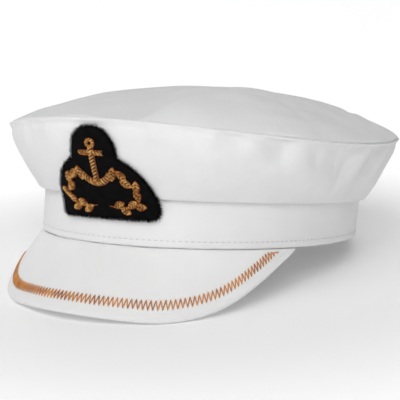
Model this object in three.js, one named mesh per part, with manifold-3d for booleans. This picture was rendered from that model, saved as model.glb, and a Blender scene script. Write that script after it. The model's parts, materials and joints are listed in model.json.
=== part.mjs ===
// A white captain's cap: a domed top panel, a flared side panel that rolls over the band, a stiff band, a
// sloping peak, and a black felt patch at the front with a raised gold anchor between two sprays of leaves.
// Lengths are in millimetres and angles in degrees. The cap is drawn as it is worn, with the band's bottom
// edge level at z = 0, the front towards -Y and the wearer's left towards +X, and is then laid down on its
// peak.

import * as THREE from 'three';
import Module from 'manifold-3d';
import { ParametricGeometry } from 'three/addons/geometries/ParametricGeometry.js';
import { TessellateModifier } from 'three/addons/modifiers/TessellateModifier.js';
import { mergeVertices } from 'three/addons/utils/BufferGeometryUtils.js';

// Band: its outside, measured at the bottom edge
const BAND_LENGTH = 200.4;
const BAND_WIDTH = 169.4;
const BAND_HEIGHT = 33;
const BAND_WALL = 2.4;
// How far the band leans out going up, at the front (where it leans in) and at the back
const BAND_FRONT_LEAN = -3;
const BAND_BACK_LEAN = 5.9;

// Cloth of the crown, and the gap that separate pieces keep
const CLOTH_WALL = 1.6;
const CLEARANCE = 0.3;

// Side panel: it hangs below the band's top edge, rolls round a small loop and flares up to the seam
const HEM_HEIGHT = 4.5;
const ROLL_DROP = 11.1;
const ROLL_FRONT_RISE = 1.5;
const ROLL_GAP = 0.4;
const SIDE_HEIGHT = 36.9;
const SEAM_END_RISE = 5.5;
const SEAM_BACK_RISE = 3.9;
const FLARE_AT_ENDS = 15.8;
const FLARE_AT_SIDES = 21.8;
const FLARE_POWER = 1.6;
const SEAM_LEDGE = 1.2;

// Top panel
const DOME_RISE = 23;
const DOME_POWER = 2.6;
const DOME_BACK_SHIFT = 3.3;

// Peak
const PEAK_LENGTH = 38;
const PEAK_HALF_ANGLE = 67;
const PEAK_SLOPE = 54;
const PEAK_WALL = 2.4;
const PEAK_BEND = 3.2;
const PEAK_BULGE = 0.5;
// As shares: how far under the band the bend may start, the wall at the tips, and where it starts to thin
const PEAK_TAB = 0.75;
const PEAK_TIP_WALL = 0.5;
const PEAK_TIP_START = 0.8;

// Badge
const BADGE_WIDTH = 61.5;
const BADGE_HEIGHT = 43.7;
const BADGE_SHIFT = 5.6;
const BADGE_FOOT = 13.2;
const BADGE_FELT = 1.8;
const BADGE_RELIEF = 1.5;
const BADGE_CLEARANCE = 0.45;
const BADGE_BLEND = 1;
const ANCHOR_HEIGHT = 22.5;
const ANCHOR_FOOT = 15.5;
const LEAF_LENGTH = 6.2;
const LEAF_WIDTH = 3.4;
const LEAF_BELLY = 0.45;
const LEAF_SPREAD = 26;
const LEAVES_PER_SPRAY = 8;
const STEM_WIDTH = 1;

// Outline of the felt, as shares of its half width and height: its lower corner, and curves from there up
// to the middle of its head, each with the point that pulls it
const BADGE_CORNER = { across: 0.81, up: 0 };
const BADGE_CURVES = [
	{ pull: { across: 1, up: 0 }, end: { across: 1, up: 0.1 } },
	{ pull: { across: 1, up: 0.22 }, end: { across: 0.75, up: 0.45 } },
	{ pull: { across: 0.6, up: 0.57 }, end: { across: 0.38, up: 0.65 } },
	{ pull: { across: 0.34, up: 1 }, end: { across: 0, up: 1 } },
];
const BADGE_MIDDLE = 0.42;

// Parts of the anchor as shares of its height, and how far round from level its arms end, in degrees
const ANCHOR_STROKE = 0.11;
const ANCHOR_EYE = { up: 0.9, radius: 0.1, hole: 0.045 };
const ANCHOR_SHANK = { low: 0.06, high: 0.84 };
const ANCHOR_STOCK = { up: 0.7, reach: 0.24, width: 0.85 };
const ANCHOR_ARMS = { up: 0.42, radius: 0.42, innerUp: 0.47, innerRadius: 0.34, end: 30.6 };
const ANCHOR_FLUKE = { across: 0.36, up: 0.12, length: 0.3, lean: 14 };

// Stem of the left spray as shares of the badge's width and height, and its first leaf's place in leaf steps
const SPRAY_FOOT = { across: 0.06, up: 0.13 };
const SPRAY_BEND = { across: 0.5, up: 0.06 };
const SPRAY_TIP = { across: 0.24, up: 0.44 };
const FIRST_LEAF = 0.8;

// Folds of the side panel: how far the deepest one sinks in, and the share of the panel in which it starts at
// the seam and ends at its foot. Dents of the top panel: their depth, and where they fade towards the seam.
const FOLD_DEPTH = 2.2;
const FOLD_START = 0.15;
const FOLD_END = 0.4;
const DOME_DENT_DEPTH = 2.4;
const DENT_FADE = 0.2;

// Peak sections from the middle to the tip: place round the peak, width and slope, each as a share
const PEAK_SECTIONS = [
	{ place: 0, width: 1, slope: 0.92 },
	{ place: 0.195, width: 0.99, slope: 0.96 },
	{ place: 0.39, width: 0.965, slope: 1 },
	{ place: 0.584, width: 0.775, slope: 1.035 },
	{ place: 0.779, width: 0.4, slope: 1.04 },
	{ place: 0.909, width: 0.14, slope: 1.01 },
	{ place: 1, width: 0, slope: 0.6 },
];

// Folds that hang from the seam: angle from the front and half width in degrees, depth as a share of
// FOLD_DEPTH (negative stands out), reach down the panel as a share of its height, and how far its foot
// leans, in degrees
const FOLDS = [
	{ angle: 15, width: 3, depth: -0.3, reach: 0.45, lean: 0 },
	{ angle: 19, width: 3, depth: 0.4, reach: 0.5, lean: 0 },
	{ angle: 39, width: 3, depth: 0.35, reach: 0.4, lean: 0 },
	{ angle: 45, width: 4, depth: -0.35, reach: 0.5, lean: 0 },
	{ angle: 53, width: 3, depth: 0.6, reach: 0.6, lean: 0 },
	{ angle: 64, width: 3.5, depth: 0.6, reach: 0.5, lean: 0 },
	{ angle: 71, width: 4, depth: 0.8, reach: 0.75, lean: -1 },
	{ angle: 80, width: 4, depth: 0.9, reach: 0.85, lean: -5 },
	{ angle: 92, width: 4.5, depth: 1, reach: 0.95, lean: -7 },
	{ angle: 104, width: 4, depth: 0.7, reach: 0.7, lean: -4 },
	{ angle: 116, width: 4.5, depth: 0.9, reach: 0.8, lean: 0 },
	{ angle: 129, width: 4, depth: 0.6, reach: 0.6, lean: 3 },
	{ angle: 143, width: 4.5, depth: 0.8, reach: 0.7, lean: 2 },
	{ angle: 158, width: 4, depth: 0.6, reach: 0.6, lean: 0 },
	{ angle: 172, width: 4, depth: 0.7, reach: 0.7, lean: 0 },
];
const FOLD_MIRROR_SHIFT = 4;

// Broad dents of the top panel: angle from the front, distance from the middle as a share of the way to the
// seam, half width as the same share, and depth as a share of DOME_DENT_DEPTH (negative stands up)
const DOME_DENTS = [
	{ angle: -12, out: 0.62, spread: 0.3, depth: 0.8 },
	{ angle: 48, out: 0.74, spread: 0.22, depth: -0.5 },
	{ angle: 100, out: 0.8, spread: 0.16, depth: 0.45 },
	{ angle: 150, out: 0.66, spread: 0.26, depth: 0.5 },
	{ angle: -110, out: 0.72, spread: 0.24, depth: -0.4 },
];

// Fineness of the surfaces
const SECTORS = 90;
const ROLL_STEPS = 4;
const FLARE_STEPS = 8;
const DOME_STEPS = 6;
const BAND_STEPS = 2;
const PEAK_SECTORS = 34;
const PEAK_BEND_STEPS = 2;
const PEAK_STEPS = 8;
const BADGE_SECTORS = 40;
const BADGE_RINGS = 5;
const STEM_STEPS = 8;
const CURVE_STEPS = 4;
const RELIEF_EDGE = 6.5;
const RELIEF_PASSES = 6;
const MERGE_WITHIN = 1e-3;

const DEGREES = Math.PI / 180;
const WHOLE_TURN = 2 * Math.PI;
const mix = THREE.MathUtils.lerp;
const smooth = THREE.MathUtils.smoothstep;

// Frame of the band: the unit direction straight out of it at an angle from the front, and points beyond it

function outwards( angle ) {

	const out = new THREE.Vector2( Math.sin( angle ) / BAND_WIDTH, - Math.cos( angle ) / BAND_LENGTH );
	return out.normalize();

}

function beyondBand( angle, offset, height, target ) {

	const out = outwards( angle );
	const x = BAND_WIDTH / 2 * Math.sin( angle ) + out.x * offset;
	const y = - BAND_LENGTH / 2 * Math.cos( angle ) + out.y * offset;
	return target.set( x, y, height );

}

function bandLean( angle, height ) {

	const lean = mix( BAND_FRONT_LEAN, BAND_BACK_LEAN, ( 1 - Math.cos( angle ) ) / 2 );
	return height * Math.tan( lean * DEGREES );

}

// Side panel's section at an angle

const rollRadius = CLOTH_WALL + ROLL_GAP / 2;
const rollFoot = BAND_HEIGHT - ROLL_DROP;
const seamHeight = rollFoot + SIDE_HEIGHT;

function rollCentre( angle ) {

	const height = rollFoot + ROLL_FRONT_RISE * Math.cos( angle ) + rollRadius;
	return { offset: CLEARANCE + rollRadius + bandLean( angle, height ), height };

}

function seam( angle ) {

	const rise = SEAM_END_RISE * Math.cos( 2 * angle ) - SEAM_BACK_RISE * Math.cos( angle );
	const height = seamHeight + rise;
	return { offset: mix( FLARE_AT_ENDS, FLARE_AT_SIDES, Math.sin( angle ) ** 2 ), height };

}

// Direction in which the flare leaves the roll, measured from straight up
function flareStart( angle ) {

	const from = rollCentre( angle );
	const to = seam( angle );
	const run = FLARE_POWER * ( to.offset - from.offset - rollRadius );
	return Math.atan2( run, to.height - from.height );

}

function flare( angle, share ) {

	const from = rollCentre( angle );
	const lean = flareStart( angle );
	const to = seam( angle );
	const offset = from.offset + rollRadius * Math.cos( lean );
	const height = from.height - rollRadius * Math.sin( lean );
	const out = 1 - ( 1 - share ) ** FLARE_POWER;
	return { offset: mix( offset, to.offset, out ), height: mix( height, to.height, share ) };

}

// Shortest way round from one angle to another, in degrees
function turn( from, to ) {

	return THREE.MathUtils.euclideanModulo( to - from + 180, 360 ) - 180;

}

// Height of a bell curve with its middle at zero
function bell( away ) {

	return Math.exp( - ( away ** 2 ) );

}

function foldDepth( angle, share ) {

	const down = 1 - share;
	let depth = 0;
	for ( const fold of FOLDS ) {

		const fade = smooth( down, 0, FOLD_START ) * ( 1 - smooth( down, fold.reach * FOLD_END, fold.reach ) );
		const left = turn( fold.angle + fold.lean * down, angle / DEGREES );
		const right = turn( - fold.angle - FOLD_MIRROR_SHIFT - fold.lean * down, angle / DEGREES );
		depth += FOLD_DEPTH * fold.depth * fade * ( bell( left / fold.width ) + bell( right / fold.width ) );

	}

	return depth;

}

const sideSteps = 1 + ROLL_STEPS + FLARE_STEPS;

// Outside of the side panel: down its hem, round the roll and up to the seam, for v from 0 to 1
function sideFace( u, v, target ) {

	const angle = u * WHOLE_TURN;
	const step = v * sideSteps;
	const centre = rollCentre( angle );
	if ( step < 1 ) {

		const height = centre.height + HEM_HEIGHT * ( 1 - step );
		return beyondBand( angle, CLEARANCE + bandLean( angle, height ), height, target );

	}

	if ( step <= 1 + ROLL_STEPS ) {

		const round = ( step - 1 ) / ROLL_STEPS * ( Math.PI - flareStart( angle ) );
		const offset = centre.offset - rollRadius * Math.cos( round );
		return beyondBand( angle, offset, centre.height - rollRadius * Math.sin( round ), target );

	}

	const share = ( step - 1 - ROLL_STEPS ) / FLARE_STEPS;
	const place = flare( angle, share );
	return beyondBand( angle, place.offset - foldDepth( angle, share ), place.height, target );

}

// Outside of the top panel, from its middle (v = 0) to the seam (v = 1)

function domeDent( x, y ) {

	let depth = 0;
	for ( const dent of DOME_DENTS ) {

		const angle = dent.angle * DEGREES;
		const away = Math.hypot( x - dent.out * Math.sin( angle ), y + dent.out * Math.cos( angle ) );
		depth += DOME_DENT_DEPTH * dent.depth * bell( away / dent.spread );

	}

	return depth * smooth( 1 - Math.hypot( x, y ), 0, DENT_FADE );

}

function domeFace( u, v, target ) {

	const angle = - u * WHOLE_TURN;
	const edge = seam( angle );
	beyondBand( angle, edge.offset - SEAM_LEDGE, edge.height + CLEARANCE + CLOTH_WALL, target );
	const dent = domeDent( v * Math.sin( angle ), - v * Math.cos( angle ) );
	target.x *= v;
	target.y = target.y * v + DOME_BACK_SHIFT * ( 1 - v );
	target.z = mix( seamHeight + DOME_RISE, target.z, v ** DOME_POWER ) - dent;
	return target;

}

// Band: up its outside and down its inside, with a level bottom edge
function bandBody() {

	const rows = 2 * BAND_STEPS + 2;
	const place = ( u, t, target ) => {

		const angle = u * WHOLE_TURN;
		const row = Math.round( t * rows ) % rows;
		const inside = row > BAND_STEPS;
		const height = BAND_HEIGHT * ( inside ? rows - 1 - row : row ) / BAND_STEPS;
		return beyondBand( angle, bandLean( angle, height ) - ( inside ? BAND_WALL : 0 ), height, target );

	};

	return new ParametricGeometry( place, SECTORS, rows );

}

// Value of one column of the peak's table at a place from 0 to 1, on a smooth curve through its rows
function peakValue( column, place ) {

	const rows = PEAK_SECTIONS;
	const slopeAt = ( i ) => {

		if ( i === 0 ) return 0;
		const before = rows[ i - 1 ];
		const after = rows[ Math.min( i + 1, rows.length - 1 ) ];
		return ( after[ column ] - before[ column ] ) / ( after.place - before.place );

	};

	const last = rows.length - 2;
	const index = Math.min( last, rows.findLastIndex( ( row ) => row.place <= place ) );
	const from = rows[ index ];
	const to = rows[ index + 1 ];
	const span = to.place - from.place;
	const t = ( place - from.place ) / span;
	const leave = slopeAt( index ) * span * t * ( 1 - t ) ** 2;
	const arrive = slopeAt( index + 1 ) * span * t * t * ( 1 - t );
	return mix( from[ column ], to[ column ], t * t * ( 3 - 2 * t ) ) + leave - arrive;

}

// Top of the peak: flat under the band, round a bend and down the slope, for v from 0 to 1
function peakFace( u, v, target ) {

	const place = Math.min( 1, Math.abs( 2 * u - 1 ) );
	const angle = ( 1 - 2 * u ) * PEAK_HALF_ANGLE * DEGREES;
	const slope = PEAK_SLOPE * peakValue( 'slope', place ) * DEGREES;
	const width = Math.max( 0, PEAK_LENGTH * peakValue( 'width', place ) );
	const bendIn = - Math.min( PEAK_BEND * Math.tan( slope / 2 ), PEAK_TAB * BAND_WALL );
	const step = v * PEAK_STEPS;
	if ( step < 1 ) return beyondBand( angle, mix( - BAND_WALL, bendIn, step ), - CLEARANCE, target );
	const bent = 1 + PEAK_BEND_STEPS;
	const round = Math.min( 1, ( step - 1 ) / PEAK_BEND_STEPS ) * slope;
	const down = Math.max( 0, ( step - bent ) / ( PEAK_STEPS - bent ) );
	const bulge = PEAK_BULGE * ( width / PEAK_LENGTH ) ** 2 * 4 * down * ( 1 - down );
	const along = width * down;
	const out = along * Math.cos( slope ) + bulge * Math.sin( slope );
	const drop = along * Math.sin( slope ) - bulge * Math.cos( slope ) + PEAK_BEND * ( 1 - Math.cos( round ) );
	return beyondBand( angle, bendIn + PEAK_BEND * Math.sin( round ) + out, - CLEARANCE - drop, target );

}

// Badge: the felt hangs down the crown's front and over the roll in one fair curve

const badgeTurn = BAND_WIDTH / 2 + BAND_LENGTH / BAND_WIDTH * FLARE_AT_ENDS / 2;

function badgeOffset( angle, height ) {

	const start = flare( angle, 0 );
	const top = seam( angle );
	const share = ( height - start.height ) / ( top.height - start.height );
	const line = start.offset + ( height - start.height ) * Math.tan( flareStart( angle ) );
	const crown = share > 0 ? flare( angle, Math.min( 1, share ) ).offset : line;
	const band = bandLean( angle, height ) + CLEARANCE;
	return ( crown + band + Math.hypot( crown - band, BADGE_BLEND ) ) / 2 + BADGE_CLEARANCE;

}

// A point of the badge: across to the wearer's left, up from its foot, and out from the back of the felt
function onBadge( across, up, out, target ) {

	const angle = ( across + BADGE_SHIFT ) / badgeTurn;
	const height = BADGE_FOOT + up;
	return beyondBand( angle, badgeOffset( angle, height ) + out, height, target );

}

// Solids from surfaces

// Unit direction straight out of a face; where the face comes to a point it is taken just beside the point
function straightOut( face, u, v, target ) {

	const small = 1e-4;
	const beside = Math.max( v, 20 * small );
	const a = face( u - small, beside, new THREE.Vector3() );
	const b = face( u + small, beside, new THREE.Vector3() );
	const low = Math.max( 0, beside - small );
	const high = Math.min( 1, beside + small );
	const c = face( u, low, new THREE.Vector3() );
	const d = face( u, high, new THREE.Vector3() );
	return target.crossVectors( b.sub( a ), d.sub( c ) ).normalize();

}

// A closed wall of the given thickness behind a face: rows of points up its outside and down its inside
function wallBehind( face, thickness, sectors, steps ) {

	const rows = 2 * steps + 2;
	const place = ( u, t, target ) => {

		const row = Math.round( t * rows ) % rows;
		const inside = row > steps;
		const v = inside ? ( rows - 1 - row ) / steps : row / steps;
		face( u, v, target );
		if ( inside ) target.addScaledVector( straightOut( face, u, v, new THREE.Vector3() ), - thickness( u ) );
		return target;

	};

	return new ParametricGeometry( place, sectors, rows );

}

// The same, for a face whose two ends stay apart: each end closes on the middle of the wall
function openWallBehind( face, thickness, sectors, steps ) {

	const rows = 2 * steps + 2;
	const place = ( u, t, target ) => {

		const column = Math.round( u * ( sectors + 2 ) ) - 1;
		const along = THREE.MathUtils.clamp( column / sectors, 0, 1 );
		const row = Math.round( t * rows ) % rows;
		const inside = row > steps;
		const v = inside ? ( rows - 1 - row ) / steps : row / steps;
		const depth = column < 0 || column > sectors ? 0.5 : Number( inside );
		const out = straightOut( face, along, v, new THREE.Vector3() );
		return face( along, v, target ).addScaledVector( out, - depth * thickness( along ) );

	};

	return new ParametricGeometry( place, sectors + 2, rows );

}

// One closed body: shared corners are merged, slivers dropped and all faces turned outwards
function closedBody( geometry ) {

	const bare = new THREE.BufferGeometry();
	bare.setAttribute( 'position', geometry.getAttribute( 'position' ) );
	bare.setIndex( geometry.getIndex() );
	const merged = mergeVertices( bare, MERGE_WITHIN );
	const index = merged.getIndex().array;
	const position = merged.getAttribute( 'position' );
	const at = ( i ) => new THREE.Vector3().fromBufferAttribute( position, i );
	const kept = [];
	let volume = 0;
	for ( let i = 0; i < index.length; i += 3 ) {

		const [ a, b, c ] = index.slice( i, i + 3 );
		if ( a === b || b === c || c === a ) continue;
		kept.push( a, b, c );
		volume += at( a ).dot( at( b ).cross( at( c ) ) );

	}

	if ( volume < 0 ) kept.reverse();
	merged.setIndex( kept );
	merged.computeVertexNormals();
	return merged;

}

const wasm = await Module();
wasm.setup();

// Joins flat raised shapes into one body
function joined( geometries ) {

	const solids = geometries.map( ( geometry ) => {

		const body = closedBody( geometry );
		const vertProperties = new Float32Array( body.getAttribute( 'position' ).array );
		const triVerts = new Uint32Array( body.getIndex().array );
		return new wasm.Manifold( new wasm.Mesh( { numProp: 3, vertProperties, triVerts } ) );

	} );
	const whole = solids.reduce( ( sum, solid ) => sum.add( solid ) ).getMesh();
	const geometry = new THREE.BufferGeometry();
	geometry.setAttribute( 'position', new THREE.BufferAttribute( whole.vertProperties, 3 ) );
	geometry.setIndex( new THREE.BufferAttribute( whole.triVerts, 1 ) );
	return geometry;

}

// Embroidery drawn flat, across and up, then laid on the felt

function raised( shape ) {

	const options = { depth: BADGE_RELIEF, bevelEnabled: false, curveSegments: CURVE_STEPS };
	return new THREE.ExtrudeGeometry( shape, options );

}

function bar( fromX, fromY, toX, toY, width ) {

	const along = new THREE.Vector2( toX - fromX, toY - fromY );
	const start = along.angle() - Math.PI / 2;
	const shape = new THREE.Shape();
	shape.absarc( toX, toY, width / 2, start, start + Math.PI );
	shape.absarc( fromX, fromY, width / 2, start + Math.PI, start + WHOLE_TURN );
	return raised( shape );

}

// A strip of even width along a curve
function strip( curve, width ) {

	const edge = ( t, side ) => {

		const normal = curve.getTangent( t ).rotateAround( new THREE.Vector2(), side * Math.PI / 2 );
		return curve.getPoint( t ).addScaledVector( normal, width / 2 );

	};

	const shares = [ ...Array( STEM_STEPS + 1 ).keys() ].map( ( i ) => i / STEM_STEPS );
	const right = shares.map( ( t ) => edge( t, - 1 ) );
	const left = shares.map( ( t ) => edge( t, 1 ) ).reverse();
	return raised( new THREE.Shape( [ ...right, ...left ] ) );

}

function leaf( x, y, angle, length ) {

	const along = new THREE.Vector2( Math.cos( angle ), Math.sin( angle ) ).multiplyScalar( length );
	const side = new THREE.Vector2( - Math.sin( angle ), Math.cos( angle ) ).multiplyScalar( LEAF_WIDTH );
	const middle = new THREE.Vector2( x, y ).addScaledVector( along, LEAF_BELLY );
	const tip = new THREE.Vector2( x, y ).add( along );
	const shape = new THREE.Shape();
	shape.moveTo( x, y );
	shape.quadraticCurveTo( middle.x + side.x, middle.y + side.y, tip.x, tip.y );
	shape.quadraticCurveTo( middle.x - side.x, middle.y - side.y, x, y );
	return raised( shape );

}

function anchorShapes() {

	const h = ANCHOR_HEIGHT;
	const up = ( share ) => ANCHOR_FOOT + share * h;
	const stroke = ANCHOR_STROKE * h;
	const eye = new THREE.Shape();
	eye.absarc( 0, up( ANCHOR_EYE.up ), ANCHOR_EYE.radius * h, 0, WHOLE_TURN );
	const hole = new THREE.Path();
	hole.absarc( 0, up( ANCHOR_EYE.up ), ANCHOR_EYE.hole * h, 0, WHOLE_TURN, true );
	eye.holes.push( hole );
	const arms = new THREE.Shape();
	const end = ANCHOR_ARMS.end * DEGREES;
	arms.absarc( 0, up( ANCHOR_ARMS.up ), ANCHOR_ARMS.radius * h, - end, Math.PI + end, true );
	arms.absarc( 0, up( ANCHOR_ARMS.innerUp ), ANCHOR_ARMS.innerRadius * h, Math.PI + end, - end, false );
	const flukes = [ - 1, 1 ].map( ( side ) => {

		const heading = Math.PI / 2 - side * ANCHOR_FLUKE.lean * DEGREES;
		return leaf( side * ANCHOR_FLUKE.across * h, up( ANCHOR_FLUKE.up ), heading, ANCHOR_FLUKE.length * h );

	} );
	const shank = bar( 0, up( ANCHOR_SHANK.low ), 0, up( ANCHOR_SHANK.high ), stroke );
	const reach = ANCHOR_STOCK.reach * h;
	const level = up( ANCHOR_STOCK.up );
	const stock = bar( - reach, level, reach, level, ANCHOR_STOCK.width * stroke );
	return [ raised( eye ), raised( arms ), shank, stock, ...flukes ];

}

// A spray of leaves on one side: 1 for the wearer's left and -1 for the right
function sprayShapes( side ) {

	const at = ( share ) => new THREE.Vector2( side * share.across * BADGE_WIDTH, share.up * BADGE_HEIGHT );
	const stem = new THREE.QuadraticBezierCurve( at( SPRAY_FOOT ), at( SPRAY_BEND ), at( SPRAY_TIP ) );
	const shapes = [ strip( stem, STEM_WIDTH ) ];
	for ( let i = 0; i < LEAVES_PER_SPRAY; i ++ ) {

		const t = Math.min( 1, ( i + FIRST_LEAF ) / LEAVES_PER_SPRAY );
		const base = stem.getPointAt( t );
		const last = i === LEAVES_PER_SPRAY - 1;
		const turned = i % 2 === 0 ? LEAF_SPREAD : - LEAF_SPREAD;
		const heading = stem.getTangentAt( t ).angle() + ( last ? 0 : turned * DEGREES );
		shapes.push( leaf( base.x, base.y, heading, LEAF_LENGTH ) );

	}

	return shapes;

}

// Lays joined shapes on the felt, their edges first cut short enough to follow its curve
function onFelt( shapes ) {

	const flat = joined( shapes ).toNonIndexed();
	const fine = new TessellateModifier( RELIEF_EDGE, RELIEF_PASSES ).modify( flat );
	const position = fine.getAttribute( 'position' );
	const point = new THREE.Vector3();
	for ( let i = 0; i < position.count; i ++ ) {

		point.fromBufferAttribute( position, i );
		onBadge( point.x, point.y, BADGE_FELT + BADGE_CLEARANCE + point.z, point );
		position.setXYZ( i, point.x, point.y, point.z );

	}

	fine.setIndex( [ ...Array( position.count ).keys() ] );
	return fine;

}

// Outline of the felt: a bell with a round head and round lower corners
function badgeOutline() {

	const at = ( share ) => [ share.across * BADGE_WIDTH / 2, share.up * BADGE_HEIGHT ];
	const shape = new THREE.Shape();
	shape.moveTo( 0, 0 );
	shape.lineTo( ...at( BADGE_CORNER ) );
	for ( const curve of BADGE_CURVES ) shape.quadraticCurveTo( ...at( curve.pull ), ...at( curve.end ) );
	const half = shape.getSpacedPoints( BADGE_SECTORS / 2 );
	const other = half.slice( 1, - 1 ).reverse();
	return [ ...half, ...other.map( ( point ) => new THREE.Vector2( - point.x, point.y ) ) ];

}

// The felt: rings of points from its middle out to the outline, on both of its faces
function feltBody() {

	const outline = badgeOutline();
	const middle = new THREE.Vector2( 0, BADGE_MIDDLE * BADGE_HEIGHT );
	const rows = 2 * BADGE_RINGS + 1;
	const place = ( u, t, target ) => {

		const edge = outline[ Math.round( u * outline.length ) % outline.length ];
		const row = Math.round( t * rows );
		const front = row > BADGE_RINGS;
		const share = ( front ? rows - row : row ) / BADGE_RINGS;
		const across = mix( middle.x, edge.x, share );
		const up = mix( middle.y, edge.y, share );
		return onBadge( across, up, front ? BADGE_FELT : 0, target );

	};

	return new ParametricGeometry( place, outline.length, rows );

}

// Materials

const cloth = ( color ) => new THREE.MeshStandardMaterial( { color, roughness: 0.85, metalness: 0 } );
const thread = ( color ) => new THREE.MeshStandardMaterial( { color, roughness: 0.45, metalness: 0.6 } );

const cap = new THREE.Group();

function add( name, geometry, material ) {

	const piece = new THREE.Mesh( closedBody( geometry ), material );
	piece.name = name;
	cap.add( piece );

}

const clothWall = () => CLOTH_WALL;
const peakWall = ( u ) => {

	const thinned = smooth( Math.abs( 2 * u - 1 ), PEAK_TIP_START, 1 );
	return PEAK_WALL * mix( 1, PEAK_TIP_WALL, thinned );

};

add( 'crown_top', wallBehind( domeFace, clothWall, SECTORS, DOME_STEPS ), cloth( 0xe9eaec ) );
add( 'crown_side', wallBehind( sideFace, clothWall, SECTORS, sideSteps ), cloth( 0xeaebed ) );
add( 'band', bandBody(), cloth( 0xebecee ) );
add( 'peak', openWallBehind( peakFace, peakWall, PEAK_SECTORS, PEAK_STEPS ), cloth( 0xecedef ) );
add( 'badge_felt', feltBody(), cloth( 0x14141a ) );
add( 'badge_anchor', onFelt( anchorShapes() ), thread( 0xc08a45 ) );
add( 'badge_leaves_left', onFelt( sprayShapes( 1 ) ), thread( 0xb98a4c ) );
add( 'badge_leaves_right', onFelt( sprayShapes( - 1 ) ), thread( 0xb98a4c ) );

// Laid down, the cap rests on the back of the band and on the lowest stretch of the peak's rim: it pitches up
// at the front until the two are level, and then stands on z = 0 with its middle over the origin

const backEdge = BAND_LENGTH / 2;
const rim = cap.getObjectByName( 'peak' ).geometry.getAttribute( 'position' );
let pitch = 0;
for ( let i = 0; i < rim.count; i ++ ) {

	const rise = Math.atan2( - rim.getZ( i ), backEdge - rim.getY( i ) );
	pitch = Math.max( pitch, rise );

}

cap.rotation.x = - pitch;
const box = new THREE.Box3().setFromObject( cap, true );
const centre = box.getCenter( new THREE.Vector3() );
cap.position.set( - centre.x, - centre.y, - box.min.z );

export default cap;
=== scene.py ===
"""A white captain's cap, dressed over its CAD frame.

The cap is drawn as it is worn, in millimetres, as the CAD part is: the band's bottom edge is level at
z = 0, the front faces -Y and the wearer's left is +X. It is then laid down on its peak and written out in
metres. Angles round the cap start at the front and grow towards the wearer's left.
"""
import json
import math

import bmesh
import bpy
import numpy as np
from mathutils import Matrix


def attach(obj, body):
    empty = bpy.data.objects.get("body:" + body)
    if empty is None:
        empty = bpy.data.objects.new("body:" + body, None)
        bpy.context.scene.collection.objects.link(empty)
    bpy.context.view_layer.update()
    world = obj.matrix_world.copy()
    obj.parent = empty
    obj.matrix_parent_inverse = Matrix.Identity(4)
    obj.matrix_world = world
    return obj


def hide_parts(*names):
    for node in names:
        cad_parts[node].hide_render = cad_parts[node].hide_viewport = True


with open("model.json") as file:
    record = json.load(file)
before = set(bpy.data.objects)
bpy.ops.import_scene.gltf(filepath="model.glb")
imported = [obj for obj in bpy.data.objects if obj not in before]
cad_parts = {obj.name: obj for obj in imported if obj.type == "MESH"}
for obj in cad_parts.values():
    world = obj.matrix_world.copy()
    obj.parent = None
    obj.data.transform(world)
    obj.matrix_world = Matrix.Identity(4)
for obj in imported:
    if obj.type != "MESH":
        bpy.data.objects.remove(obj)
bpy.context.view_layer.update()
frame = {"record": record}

# Sizes shared with the CAD part, in millimetres and degrees
BAND_LENGTH = 200.4
BAND_WIDTH = 169.4
BAND_HEIGHT = 33.0
BAND_WALL = 2.4
BAND_FRONT_LEAN = -3.0
BAND_BACK_LEAN = 5.9
CLOTH_WALL = 1.6
CLEARANCE = 0.3
ROLL_DROP = 11.1
ROLL_FRONT_RISE = 1.5
ROLL_GAP = 0.4
SIDE_HEIGHT = 36.9
SEAM_END_RISE = 5.5
SEAM_BACK_RISE = 3.9
FLARE_AT_ENDS = 15.8
FLARE_AT_SIDES = 21.8
FLARE_POWER = 1.6
SEAM_LEDGE = 1.2
DOME_RISE = 23.0
DOME_POWER = 2.6
DOME_BACK_SHIFT = 3.3
PEAK_LENGTH = 38.0
PEAK_HALF_ANGLE = 67.0
PEAK_SLOPE = 54.0
PEAK_WALL = 2.4
PEAK_BEND = 3.2
PEAK_BULGE = 0.5
BADGE_WIDTH = 61.5
BADGE_HEIGHT = 43.7
BADGE_SHIFT = 5.6
BADGE_FOOT = 13.2
BADGE_FELT = 1.8
BADGE_CLEARANCE = 0.45
ANCHOR_HEIGHT = 22.5
ANCHOR_FOOT = 15.5
LEAF_LENGTH = 6.2
LEAF_WIDTH = 3.4
LEAF_SPREAD = 26.0
LEAVES_PER_SPRAY = 8
FOLD_DEPTH = 2.2
FOLD_MIRROR_SHIFT = 4.0
DOME_DENT_DEPTH = 2.4

# Peak sections from the middle to the tip: place round the peak, width and slope as shares of the full size
PEAK_SECTIONS = np.array([
    (0.0, 1.0, 0.92),
    (0.195, 0.99, 0.96),
    (0.39, 0.965, 1.0),
    (0.584, 0.775, 1.035),
    (0.779, 0.4, 1.04),
    (0.909, 0.14, 1.01),
    (1.0, 0.0, 0.6),
])

# Folds that hang from the seam: angle, half width, depth share, reach down the panel, lean of the foot
FOLDS = [
    (15, 3, -0.3, 0.45, 0),
    (19, 3, 0.4, 0.5, 0),
    (39, 3, 0.35, 0.4, 0),
    (45, 4, -0.35, 0.5, 0),
    (53, 3, 0.6, 0.6, 0),
    (64, 3.5, 0.6, 0.5, 0),
    (71, 4, 0.8, 0.75, -1),
    (80, 4, 0.9, 0.85, -5),
    (92, 4.5, 1, 0.95, -7),
    (104, 4, 0.7, 0.7, -4),
    (116, 4.5, 0.9, 0.8, 0),
    (129, 4, 0.6, 0.6, 3),
    (143, 4.5, 0.8, 0.7, 2),
    (158, 4, 0.6, 0.6, 0),
    (172, 4, 0.7, 0.7, 0),
]

# Broad dents of the top panel: angle, share of the way out, half width share, depth share
DOME_DENTS = [
    (-12, 0.62, 0.3, 0.8),
    (48, 0.74, 0.22, -0.5),
    (100, 0.8, 0.16, 0.45),
    (150, 0.66, 0.26, 0.5),
    (-110, 0.72, 0.24, -0.4),
]

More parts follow.
